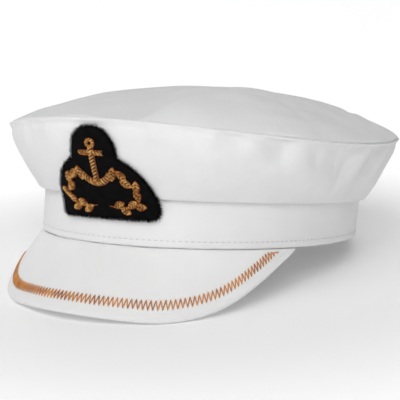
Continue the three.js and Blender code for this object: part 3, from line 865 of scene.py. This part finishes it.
def top_panel():
    angle = np.arange(DOME_COLUMNS) * TURN / DOME_COLUMNS
    shares = crowded(DOME_ROWS, DOME_CROWDING)
    edge_offset, edge_height = seam(angle)
    rim = beyond_band(angle, edge_offset - SEAM_LEDGE, edge_height + SEAM_GAP + CLOTH_WALL)
    top = BAND_HEIGHT - ROLL_DROP + SIDE_HEIGHT + DOME_RISE
    rows = []
    for v in shares:
        row = rim * v
        row[:, 1] += DOME_BACK_SHIFT * (1 - v)
        row[:, 2] = lerp(top, rim[:, 2], v ** DOME_POWER) - dome_dent(v * np.sin(angle), -v * np.cos(angle))
        rows.append(row)
    outer = np.array(rows)
    normals = grid_normals(outer, True)
    normals *= np.sign(normals[DOME_ROWS // 2, 0, 2])
    outer += normals * dome_relief(angle[None, :], shares[:, None])[..., None]
    kept = [*range(DOME_ROWS - 1, 0, -DOME_INNER_STEP), 0]
    inner = (outer - normals * CLOTH_WALL)[kept]
    loop = np.concatenate([outer, rounded_end(outer[-1], inner[0], unit(outer[-1] - outer[-2])), inner])
    options = {"material": CROWN_CLOTH, "slot": "crown_cloth", "replaces": ["crown_top"]}
    disc_piece("crown_top_panel", loop, [0, 1], **options)


# Seam between the two panels: a thin cloth welt

WELT_RADIUS = 0.62
WELT_SIDES = 10


def seam_welt():
    angle = np.arange(SIDE_COLUMNS) * TURN / SIDE_COLUMNS
    edge_offset, edge_height = seam(angle)
    wobble = 0.1 * ring_noise(angle, 0.5, 150, 15) + 0.08 * ring_noise(angle, 2.5, 60, 16)
    rows = []
    for turn in np.arange(WELT_SIDES) * TURN / WELT_SIDES:
        offset = edge_offset - WELT_RADIUS + wobble + WELT_RADIUS * math.cos(turn)
        rows.append(beyond_band(angle, offset, edge_height + WELT_RADIUS * math.sin(turn)))
    wall_piece("crown_seam_welt", np.array(rows), SIDE_COLUMN, material=CROWN_CLOTH, slot="crown_cloth")


# Band

BAND_COLUMNS = 540
BAND_ROWS = 36
BAND_INNER_STEP = 4
STITCH_HEIGHT = 3.5

# Grooves of the band in millimetres: depth, height on the band and half width
STITCH_GROOVE = (0.16, STITCH_HEIGHT, 0.5)
CREASES = [(0.4, 5.6, 0.5), (0.3, 2.4, 0.45)]
# Middle and half width of the creased stretch, in degrees
CREASED_ANGLE = 69.0
CREASED_WIDTH = 11.0


def groove(height, depth, place, width):
    return depth * hill(height, place, width)


def band_relief(angle, height):
    relief = 0.12 * ring_noise(angle, height / 9.0, 40, 21) + 0.05 * ring_noise(angle, height / 4.0, 120, 22)
    relief -= groove(height, *STITCH_GROOVE)
    creased = hill(turned(angle, CREASED_ANGLE), 0, CREASED_WIDTH, 4)
    for crease in CREASES:
        relief -= creased * groove(height, *crease)
    return relief


def band():
    angle = np.arange(BAND_COLUMNS) * TURN / BAND_COLUMNS
    edge = BAND_WALL / 2
    heights = np.linspace(edge, BAND_HEIGHT - edge, BAND_ROWS)
    outer = np.array([beyond_band(angle, band_lean(angle, height), height) for height in heights])
    normals = np.broadcast_to(outwards(angle), outer.shape)
    relief = band_relief(angle[None, :], heights[:, None]) * (heights[:, None] < BAND_HEIGHT - ROLL_DROP - 2)
    outer = outer + normals * relief[..., None]
    loop = wall_loop(outer, normals, BAND_WALL, BAND_INNER_STEP)
    width = TURN * (BAND_LENGTH + BAND_WIDTH) / 4 / BAND_COLUMNS
    wall_piece("hatband", loop, width, material=BAND_CLOTH, slot="band_cloth", replaces=["band"])


# Peak

PEAK_COLUMNS = 300
PEAK_ROWS = 46
TAB_ROWS = 5
BEND_ROWS = 9
PEAK_COLUMN = 0.9
TAB_START = 0.3
# Most of the band's wall that the bend takes up, as a share
BEND_LIMIT = 0.75
# The peak's tips: how much closer its columns get there, where its wall starts to thin, and its wall there
TIP_CROWDING = 1.2
TIP_START = 0.8
TIP_WALL = 0.5


def smooth_table(values, at):
    """A smooth curve through a column of the peak's table."""
    places = PEAK_SECTIONS[:, 0]
    last = len(places) - 1
    slopes = np.zeros(len(places))
    for i in range(1, last + 1):
        after = min(i + 1, last)
        slopes[i] = (values[after] - values[i - 1]) / (places[after] - places[i - 1])
    index = np.clip(np.searchsorted(places, at, side="right") - 1, 0, last - 1)
    span = places[index + 1] - places[index]
    t = (at - places[index]) / span
    start = values[index] * (1 + 2 * t) * (1 - t) ** 2 + slopes[index] * span * t * (1 - t) ** 2
    end = values[index + 1] * t * t * (3 - 2 * t) - slopes[index + 1] * span * t * t * (1 - t)
    return start + end


def peak_section(place, trim=0.0):
    """Slope in radians, width less a trim, and start of the bend, at a place from 0 (middle) to 1 (tip)."""
    slope = np.radians(PEAK_SLOPE * smooth_table(PEAK_SECTIONS[:, 2], place))
    width = np.maximum(0, PEAK_LENGTH * smooth_table(PEAK_SECTIONS[:, 1], place) - trim)
    return slope, width, -np.minimum(PEAK_BEND * np.tan(slope / 2), BEND_LIMIT * BAND_WALL)


def peak_slope_point(angle, down, lift=0.0, trim=0.0):
    """A point on the sloping part: down is the share of its width, lift is how far it stands off, in mm."""
    slope, width, bend_in = peak_section(np.abs(np.degrees(angle)) / PEAK_HALF_ANGLE, trim)
    bulge = PEAK_BULGE * (width / PEAK_LENGTH) ** 2 * 4 * down * (1 - down) + lift
    along = width * down
    offset = bend_in + PEAK_BEND * np.sin(slope) + along * np.cos(slope) + bulge * np.sin(slope)
    drop = PEAK_BEND * (1 - np.cos(slope)) + along * np.sin(slope) - bulge * np.cos(slope)
    return beyond_band(angle, offset, -CLEARANCE - drop)


def peak():
    place = np.linspace(1, -1, PEAK_COLUMNS)
    place = np.sign(place) * (1 - (1 - np.abs(place)) ** TIP_CROWDING)
    angle = place * math.radians(PEAK_HALF_ANGLE)
    wall = PEAK_WALL * lerp(1.0, TIP_WALL, smoothstep(np.abs(place), TIP_START, 1.0))
    slope, _, bend_in = peak_section(np.abs(place))
    rows = [beyond_band(angle, lerp(-BAND_WALL, bend_in, share), -CLEARANCE)
            for share in np.linspace(TAB_START, 1, TAB_ROWS, endpoint=False)]
    for share in np.linspace(0, 1, BEND_ROWS, endpoint=False):
        turn = share * slope
        offset = bend_in + PEAK_BEND * np.sin(turn)
        rows.append(beyond_band(angle, offset, -CLEARANCE - PEAK_BEND * (1 - np.cos(turn))))
    for share in np.linspace(0, 1, PEAK_ROWS - TAB_ROWS - BEND_ROWS):
        rows.append(peak_slope_point(angle, share, trim=wall / 2))
    outer = np.array(rows)
    normals = grid_normals(outer, False)
    normals *= np.sign(normals[-PEAK_ROWS // 2, PEAK_COLUMNS // 2, 2])
    around = (np.degrees(angle) / PEAK_HALF_ANGLE + 1) * 8
    down = np.linspace(0, 1, PEAK_ROWS)[:, None]
    relief = 0.16 * lattice_noise(around, down * 4, 16, 31)
    relief += 0.05 * lattice_noise(around * 4, down * 12, 64, 32)
    outer = outer + normals * relief[..., None]
    loop = wall_loop(outer, normals, wall[None, :, None], INNER_STEP)
    options = {"material": PEAK_CLOTH, "slot": "peak_cloth", "replaces": ["peak"]}
    wall_piece("covered_peak", loop, PEAK_COLUMN, closed=False, **options)


# Stitches along a line, which is measured through so many points

LINE_POINTS = 4000


def arch(steps, low, rise):
    """Height of a stitch along its length, low at its ends."""
    return low + rise * np.sqrt(np.clip(4 * steps * (1 - steps), 0, 1))


# Zigzag along the peak's rim, as far as the peak is wider than its room at either tip

ZIGZAG_PITCH = 2.3
ZIGZAG_HEIGHT = 5.2
ZIGZAG_INSET = 8.5
ZIGZAG_RADIUS = 0.27
ZIGZAG_LIFT = (0.12, 0.3)
ZIGZAG_ROOM_LEFT = 5.4
ZIGZAG_ROOM_RIGHT = 24.0


def inset_from_rim(angle, inset, lift=0.0):
    """A point of the peak's slope at a distance from its rim, and the peak's width there."""
    _, width, _ = peak_section(np.abs(np.degrees(angle)) / PEAK_HALF_ANGLE)
    return peak_slope_point(angle, np.clip(1 - inset / np.maximum(width, 1e-3), 0, 1), lift), width


def peak_zigzag():
    dense = np.radians(np.linspace(-PEAK_HALF_ANGLE, PEAK_HALF_ANGLE, LINE_POINTS // 2))
    length = running_length(inset_from_rim(dense, ZIGZAG_INSET)[0])
    count = int(length[-1] / ZIGZAG_PITCH)
    corners = np.interp(np.linspace(0, length[-1], 2 * count + 1), length, dense)
    steps = np.linspace(0, 1, 7)
    starts, ends = corners[:-1], corners[1:]
    side = np.where(np.arange(len(starts)) % 2 == 0, 1.0, -1.0)
    angle = lerp(starts[:, None], ends[:, None], steps)
    sway = side[:, None] * (1 - 2 * steps) * ZIGZAG_HEIGHT / 2
    paths, width = inset_from_rim(angle, ZIGZAG_INSET + sway, arch(steps, *ZIGZAG_LIFT)[None, :])
    kept = width.min(axis=1) > np.where(angle[:, 0] > 0, ZIGZAG_ROOM_LEFT, ZIGZAG_ROOM_RIGHT)
    threads = Threads(6)
    threads.add(paths[kept], ZIGZAG_RADIUS, unit(outwards(angle[kept]) + np.array([0, 0, 0.8])), 0.6)
    threads.piece("peak_zigzag_thread", material=PEAK_THREAD, slot="peak_cloth")


# Topstitching of the band

STITCH_PITCH = 3.0
STITCH_LENGTH = 2.1
STITCH_RADIUS = 0.24
STITCH_LIFT = (-0.3, 0.28)


def band_topstitch():
    dense = np.linspace(0, TURN, LINE_POINTS)
    length = running_length(beyond_band(dense, band_lean(dense, STITCH_HEIGHT), STITCH_HEIGHT))
    starts = np.arange(0, length[-1] - STITCH_PITCH, STITCH_PITCH)
    steps = np.linspace(0, 1, 6)
    angle = np.interp(starts[:, None] + steps * STITCH_LENGTH, length, dense)
    paths = beyond_band(angle, band_lean(angle, STITCH_HEIGHT) + arch(steps, *STITCH_LIFT), STITCH_HEIGHT)
    threads = Threads(5)
    threads.add(paths, STITCH_RADIUS, outwards(angle), 0.5)
    threads.piece("band_topstitch", material=WHITE_THREAD, slot="band_cloth")


# Badge: black felt with gold wire embroidery

BADGE_TURN = BAND_WIDTH / 2 + BAND_LENGTH / BAND_WIDTH * FLARE_AT_ENDS / 2
FELT_COLUMNS = 240
FELT_RINGS = 34
FELT_CROWDING = 1.4
# Where the felt's edge starts to round off, and its wall at the very edge, as shares
FELT_EDGE_START = 0.94
FELT_EDGE_WALL = 0.35
FELT_NAP = 0.14
# The felt's cut edge: unevenness as a share of its size, and waves all the way round
RAGGED = 0.008
RAGGED_CELLS = 110
FUZZ_COUNT = 5200
FUZZ_PLACES = 2000
FUZZ_RADIUS = 0.05
FUZZ_ROOT = 0.4

# Outline from the middle of the foot to the head: the straight foot's end, then each curve's pull and end as
# shares of half the width and of the height, and its points. Last, the middle of its rings up the height
BADGE_CORNER = (0.81, 0.0)
BADGE_CURVES = [
    ((1.0, 0.0), (1.0, 0.1), 12),
    ((1.0, 0.22), (0.75, 0.45), 16),
    ((0.6, 0.57), (0.38, 0.65), 20),
    ((0.34, 1.0), (0.0, 1.0), 24),
]
BADGE_MIDDLE = 0.42


def badge_offset(angle, height):
    """Offset of the badge's back, which lies on the side panel and hangs over the band below it."""
    start_offset, start_height = flare(angle, 0.0)
    top_height = seam(angle)[1]
    share = (height - start_height) / (top_height - start_height)
    line = start_offset + (height - start_height) * np.tan(flare_start(angle))
    crown = np.where(share > 0, flare(angle, np.clip(share, 0, 1))[0], line)
    band_side = band_lean(angle, height) + CLEARANCE
    return (crown + band_side + np.hypot(crown - band_side, 1)) / 2 + BADGE_CLEARANCE


def on_badge(across, up, out):
    """A point of the badge: across to the wearer's left, up from its foot, and out from the felt's back."""
    angle = (across + BADGE_SHIFT) / BADGE_TURN
    height = BADGE_FOOT + up
    return beyond_band(angle, badge_offset(angle, height) + out, height)


def badge_outward(across):
    return outwards((across + BADGE_SHIFT) / BADGE_TURN)


def bezier(points, count):
    """A quadratic curve through its start and end, pulled by the middle point."""
    a, b, c = np.array(points, dtype=float)
    t = np.linspace(0, 1, count)[:, None]
    return (1 - t) ** 2 * a + 2 * t * (1 - t) * b + t * t * c


def even(points, count):
    """The same polyline at even steps."""
    length = running_length(points)
    at = np.linspace(0, length[-1], count)
    return np.stack([np.interp(at, length, points[:, k]) for k in range(points.shape[1])], axis=-1)


def badge_outline(count):
    """A bell with a round head and round lower corners, all the way round."""
    start, stretches = BADGE_CORNER, [[(0, 0), BADGE_CORNER]]
    for pull, end, points in BADGE_CURVES:
        stretches.append(bezier([start, pull, end], points)[1:])
        start = end
    half = even(np.concatenate(stretches) * (BADGE_WIDTH / 2, BADGE_HEIGHT), count // 2 + 1)
    return np.concatenate([half, half[-2:0:-1] * (-1, 1)])


def felt():
    outline = badge_outline(FELT_COLUMNS)
    middle = np.array([0.0, BADGE_MIDDLE * BADGE_HEIGHT])
    around = np.arange(FELT_COLUMNS) / FELT_COLUMNS
    ragged = 1 + RAGGED * lattice_noise(around * RAGGED_CELLS, 0.5, RAGGED_CELLS, 41)[:, None]
    outline = middle + (outline - middle) * ragged
    front, back = [], []
    for share in crowded(FELT_RINGS, FELT_CROWDING):
        flat = lerp(middle, outline, share)
        rounding = max(0.0, (share - FELT_EDGE_START) / (1 - FELT_EDGE_START))
        wall = BADGE_FELT * lerp(FELT_EDGE_WALL, 1.0, math.sqrt(max(0.0, 1 - rounding ** 2)))
        nap = FELT_NAP * lattice_noise(flat[:, 0] * 0.9 + 60, flat[:, 1] * 0.9, 160, 42)
        front.append(on_badge(flat[:, 0], flat[:, 1], wall + nap * (share < 0.97)))
        back.append(on_badge(flat[:, 0], flat[:, 1], 0.05))
    loop = np.array([*front, *back[::-1]])
    disc_piece("badge_felt_patch", loop, [0, 2], material=FELT, slot="felt", replaces=["badge_felt"])


def felt_fuzz():
    """Short stray fibres that stand out all round the felt's edge."""
    rng = np.random.default_rng(43)
    outline = badge_outline(FUZZ_PLACES)
    pick = rng.integers(0, FUZZ_PLACES, FUZZ_COUNT)
    start = outline[pick]
    along = unit(outline[(pick + 3) % FUZZ_PLACES] - outline[pick - 3])
    out = np.stack([along[:, 1], -along[:, 0]], axis=-1)
    length = rng.uniform(0.5, 2.0, (FUZZ_COUNT, 1)) * rng.uniform(0.4, 1.0, (FUZZ_COUNT, 1))
    sway = rng.normal(0, 0.7, (FUZZ_COUNT, 1))
    lift = rng.uniform(0.1, BADGE_FELT, FUZZ_COUNT)
    bend = rng.normal(0, 0.5, FUZZ_COUNT)
    paths = []
    for share in np.linspace(0, 1, 4):
        flat = start + out * lerp(-FUZZ_ROOT, length, share) + along * sway * length * share ** 2
        paths.append(on_badge(flat[:, 0], flat[:, 1], lift + bend * share ** 2 * 0.6))
    threads = Threads(3)
    threads.add(np.stack(paths, axis=1), FUZZ_RADIUS, badge_outward(start[:, 0])[:, None, :], 0.4)
    threads.piece("badge_felt_fuzz", material=FELT, slot="felt")


# Embroidery

WIRE_RADIUS = 0.42
WIRE_PITCH = 1.5
# How much of a strip's width a wire spans, and how much of its radius it stands off
WIRE_REACH = 0.96
WIRE_LIFT = 0.6
OUTLINE_RADIUS = 0.32
OUTLINE_LIFT = 0.22
PADDING = 0.95
PADDING_SINK = 0.1
PADDING_STEPS = 9


class Embroidery:
    """One raised motif: padding in a dark brown thread that is painted shade between the wires, gold wires
    laid slanted over it, and a copper wire round its edge.
    """

    def __init__(self):
        self.wires = Threads(7)
        self.edges = Threads(6)
        self.pads = []

    def surface(self, left, right, t, w):
        """Flat place and height at t along a strip and w across it, from -1 to 1."""
        count = len(left) - 1
        at = np.clip(t, 0, 1) * count
        low = np.minimum(at.astype(int), count - 1)
        part = (at - low)[..., None]
        a = lerp(left[low], left[low + 1], part)
        b = lerp(right[low], right[low + 1], part)
        flat = lerp(a, b, ((w + 1) / 2)[..., None])
        width = np.linalg.norm(b - a, axis=-1)
        height = PADDING * np.sqrt(np.clip(1 - w ** 2, 0, 1)) * np.clip(width / 2.0, 0.25, 1.0)
        return flat, height

    def lay(self, flat, height):
        return on_badge(flat[..., 0], flat[..., 1], BADGE_FELT + height)

    def pad(self, left, right):
        steps = np.linspace(0, 1, 2 * PADDING_STEPS), np.linspace(-1, 1, PADDING_STEPS)
        t, w = np.meshgrid(*steps, indexing="ij")
        flat, height = self.surface(left, right, t, w)
        self.pads.append(self.lay(flat, height - PADDING_SINK))

    def rows(self, left, right, slant, from_w=-1.0, to_w=1.0, pitch=WIRE_PITCH):
        """Wires side by side along a strip, each from one edge to the other, slanted by a length in mm."""
        spine = (left + right) / 2
        length = np.sum(np.linalg.norm(np.diff(spine, axis=0), axis=-1))
        count = max(2, int(length / pitch))
        starts = (np.arange(count) + 0.3) / count
        steps = np.linspace(0, 1, 6)
        t = starts[:, None] + slant / length * (steps - 0.5)
        w = np.broadcast_to(lerp(from_w, to_w, steps) * WIRE_REACH, t.shape)
        flat, height = self.surface(left, right, t, w)
        paths = self.lay(flat, height + WIRE_RADIUS * WIRE_LIFT)
        self.wires.add(paths, WIRE_RADIUS, badge_outward(flat[..., 0]), 0.55)

    def edge(self, outline):
        flat = even(outline, len(outline))
        paths = self.lay(flat, OUTLINE_LIFT)
        self.edges.add(paths[None], OUTLINE_RADIUS, badge_outward(flat[:, 0])[None], 0.7)

    def strip(self, left, right, slant, pitch=WIRE_PITCH):
        self.pad(left, right)
        self.rows(left, right, slant, pitch=pitch)
        self.edge(left)
        self.edge(right)

    def leaf(self, x, y, angle, length, width):
        along = np.array([math.cos(angle), math.sin(angle)]) * length
        side = np.array([-math.sin(angle), math.cos(angle)]) * width
        base = np.array([x, y])
        middle = base + along * 0.45
        left = bezier([base, middle + side, base + along], 16)
        right = bezier([base, middle - side, base + along], 16)
        self.pad(left, right)
        self.rows(left, right, 1.5, 1.0, -0.04)
        self.rows(left, right, 1.5, -1.0, 0.04)
        self.edge(left)
        self.edge(right)

    def pieces(self, name, node):
        points, faces, uvs = [], [], []
        for index, pad in enumerate(self.pads):
            rows, columns = pad.shape[:2]
            corners, i, j = grid_faces(rows, columns, False, False, index * rows * columns)
            points.append(pad.reshape(-1, 3))
            faces += corners.tolist()
            uvs.append(grid_uvs(i, j, 0.5, np.arange(rows + 1) * 0.5))
        points, uvs = np.concatenate(points), np.concatenate(uvs)
        options = {"slot": "gold_wire", "replaces": [node]}
        # The padding is drawn in the dark brown thread: painted shade between the wires
        new_piece(name + "_padding_painted_shade", points, faces, uvs, material=PAINTED_SHADE_THREAD, **options)
        self.wires.piece(name + "_gold_wires", material=GOLD_WIRE, **options)
        self.edges.piece(name + "_copper_edge", material=COPPER_WIRE, **options)


def arc(centre, radius, start, end, count):
    turns = np.linspace(start, end, count)
    return np.stack([centre[0] + radius * np.cos(turns), centre[1] + radius * np.sin(turns)], axis=-1)


def bar(start, end, width, count=12):
    """Left and right edges of a straight bar."""
    spine = lerp(np.array(start, dtype=float), np.array(end, dtype=float), np.linspace(0, 1, count)[:, None])
    along = unit(spine[-1] - spine[0])
    side = np.array([-along[1], along[0]]) * width / 2
    return spine + side, spine - side


# Points of an arc, and the angle that the anchor's arms leave open under the level at either end
ARC_POINTS = 40
ARMS_END = 0.17 * math.pi


def anchor():
    """The anchor's places and sizes are shares of its height."""
    h, foot = ANCHOR_HEIGHT, ANCHOR_FOOT
    stroke = 0.11 * h
    work = Embroidery()
    outer = arc((0, foot + 0.42 * h), 0.42 * h, -ARMS_END, ARMS_END - math.pi, ARC_POINTS)
    inner = arc((0, foot + 0.47 * h), 0.34 * h, -ARMS_END, ARMS_END - math.pi, ARC_POINTS)
    work.strip(outer, inner, 1.2)
    work.strip(*bar((0, foot + 0.04 * h), (0, foot + 0.84 * h), stroke), 1.4)
    work.strip(*bar((-0.27 * h, foot + 0.7 * h), (0.27 * h, foot + 0.7 * h), 0.85 * stroke), 1.2)
    for side in (-1, 1):
        work.leaf(side * 0.36 * h, foot + 0.12 * h, math.pi / 2 - side * 0.24, 0.3 * h, LEAF_WIDTH)
    eye = (0, foot + 0.9 * h)
    ring = [arc(eye, radius * h, 0, TURN, ARC_POINTS) for radius in (0.1, 0.045)]
    work.strip(*ring, 0.5, 1.1)
    work.pieces("anchor", "badge_anchor")


# Stem of a spray: foot, pull and tip as shares of the badge's width and height
SPRAY = [(0.06, 0.13), (0.5, 0.06), (0.24, 0.44)]
FIRST_LEAF = 0.8
STEM_POINTS = 200


def leaves(side, name, node):
    turns = [(side * across * BADGE_WIDTH, up * BADGE_HEIGHT) for across, up in SPRAY]
    stem = even(bezier(turns, STEM_POINTS), STEM_POINTS)
    work = Embroidery()
    work.edge(stem[::4])
    last = STEM_POINTS - 1
    for i in range(LEAVES_PER_SPRAY):
        index = min(last, int(last * (i + FIRST_LEAF) / LEAVES_PER_SPRAY))
        heading = stem[min(last, index + 1)] - stem[min(last - 1, index)]
        spread = math.radians(LEAF_SPREAD if i % 2 == 0 else -LEAF_SPREAD)
        turn = 0.0 if i == LEAVES_PER_SPRAY - 1 else spread
        work.leaf(*stem[index], math.atan2(heading[1], heading[0]) + turn, LEAF_LENGTH, LEAF_WIDTH)
    work.pieces(name, node)


# Stage, light and camera

FLOOR_FRONT = -12.0
FLOOR_BEND = 0.8
FLOOR_BACK = 1.6
FLOOR_HALF_WIDTH = 12.0
BACKDROP_HEIGHT = 2.2
BEND_STEPS = 24
FLOOR_GLOW = 0.16
BACKDROP_GLOW = 0.58
GLOW_NEAR = 0.1
GLOW_FAR = 0.37


def pale_material():
    """Near-white paper, lit a little from within so that its far end stays pale."""
    nodes = Nodes("pale_floor")
    place = nodes.add("ShaderNodeTexCoord").outputs["Object"]
    grain = nodes.noise(60.0, 2.0, 0.5, place)
    colour = nodes.ramp(grain, 0.3, 0.7, (0.87, 0.87, 0.872), (0.88, 0.88, 0.88))
    rough = nodes.add("ShaderNodeMapRange", {"Value": grain, "To Min": 0.9, "To Max": 0.95})
    nodes.finish(colour, rough.outputs["Result"], nodes.bump(grain, 0.05))
    away = nodes.add("ShaderNodeVectorMath", {0: place}, operation="LENGTH").outputs["Value"]
    limits = {
        "Value": away,
        "From Min": GLOW_NEAR,
        "From Max": GLOW_FAR,
        "To Min": FLOOR_GLOW,
        "To Max": BACKDROP_GLOW,
    }
    glow = nodes.add("ShaderNodeMapRange", limits, interpolation_type="SMOOTHSTEP").outputs["Result"]
    nodes.tree.links.new(glow, nodes.shader.inputs["Emission Strength"])
    nodes.shader.inputs["Emission Color"].default_value = (1, 1, 1, 1)
    return nodes.material


def floor():
    """A pale floor that curves up into a backdrop, turned to face the camera."""
    radius = FLOOR_BACK - FLOOR_BEND
    bends = np.linspace(0, math.pi / 2, BEND_STEPS)
    profile = [(FLOOR_FRONT, 0.0)]
    profile += [(FLOOR_BEND + radius * math.sin(bend), radius * (1 - math.cos(bend))) for bend in bends]
    profile.append((FLOOR_BACK, BACKDROP_HEIGHT))
    turn = math.radians(CAMERA_AZIMUTH)
    points = []
    for along, up in profile:
        for across in (-FLOOR_HALF_WIDTH, FLOOR_HALF_WIDTH):
            x = across * math.cos(turn) - along * math.sin(turn)
            y = across * math.sin(turn) + along * math.cos(turn)
            points.append((x, y, up))
    faces = [(2 * i, 2 * i + 1, 2 * i + 3, 2 * i + 2) for i in range(len(profile) - 1)]
    put_in_scene("floor", smooth_mesh("floor", points, faces, pale_material()))


def placed(side, up, back, place):
    """Matrix of a light or camera at a place, with its own axes to the side, up and back."""
    matrix = np.identity(4)
    matrix[:3] = np.column_stack([side, up, back, place])
    return Matrix(matrix.tolist())


def aim(place, target):
    """Matrix of a light at a place that shines at target."""
    back = unit(np.array(place, dtype=float) - np.array(target))
    side = unit(np.cross((0, 0, 1), back))
    return placed(side, np.cross(back, side), back, place)


def light(name, azimuth, elevation, distance, size, power):
    turn, rise = math.radians(azimuth), math.radians(elevation)
    place = (distance * math.sin(turn) * math.cos(rise), -distance * math.cos(turn) * math.cos(rise),
             AIM_HEIGHT + distance * math.sin(rise))
    lamp = bpy.data.lights.new(name, "AREA")
    lamp.shape = "RECTANGLE"
    lamp.size, lamp.size_y = size
    lamp.energy = power
    lamp.color = (1.0, 1.0, 1.0)
    put_in_scene(name, lamp).matrix_world = aim(place, (0, 0, AIM_HEIGHT))


SKY_STRENGTH = 0.03
LIGHT_DISTANCE = 1.6
LIGHT_SIZE = (1.2, 0.9)
AIM_HEIGHT = 0.05

# Soft lights: name, azimuth and elevation in degrees, and power in watts
LIGHTS = [("key", 25, 35, 12.7), ("high_fill", 0, 60, 6.0), ("left_fill", -20, 30, 0.5)]


def studio():
    world = bpy.data.worlds.new("studio")
    world.use_nodes = True
    sky = world.node_tree.nodes["Background"].inputs
    sky["Color"].default_value = (1.0, 1.0, 1.0, 1.0)
    sky["Strength"].default_value = SKY_STRENGTH
    bpy.context.scene.world = world
    for name, azimuth, elevation, power in LIGHTS:
        light(name, azimuth, elevation, LIGHT_DISTANCE, LIGHT_SIZE, power)
    bpy.context.scene.view_settings.view_transform = "Standard"


def photo_camera():
    turn, rise, roll = (math.radians(a) for a in (CAMERA_AZIMUTH, CAMERA_ELEVATION, CAMERA_ROLL))
    back = np.array([math.sin(turn) * math.cos(rise), -math.cos(turn) * math.cos(rise), math.sin(rise)])
    level = np.array([math.cos(turn), math.sin(turn), 0.0])
    upright = np.cross(back, level)
    across = math.cos(roll) * level + math.sin(roll) * upright
    up = math.cos(roll) * upright - math.sin(roll) * level
    eye = CAMERA_SIDE * level + (0, 0, CAMERA_HEIGHT) + CAMERA_DISTANCE * back
    lens = bpy.data.cameras.new("photo_camera")
    lens.sensor_fit = "HORIZONTAL"
    lens.sensor_width = SENSOR
    lens.lens = CAMERA_FOCUS * SENSOR / IMAGE_SIZE
    lens.clip_start, lens.clip_end = CAMERA_RANGE
    camera = put_in_scene("photo_camera", lens)
    camera.matrix_world = placed(ROTATION @ across, ROTATION @ up, ROTATION @ back, to_row(eye))
    bpy.context.scene.camera = camera


photo_camera()
side_panel()
top_panel()
seam_welt()
band()
band_topstitch()
peak()
peak_zigzag()
felt()
felt_fuzz()
anchor()
leaves(1, "leaves_left", "badge_leaves_left")
leaves(-1, "leaves_right", "badge_leaves_right")
floor()
studio()
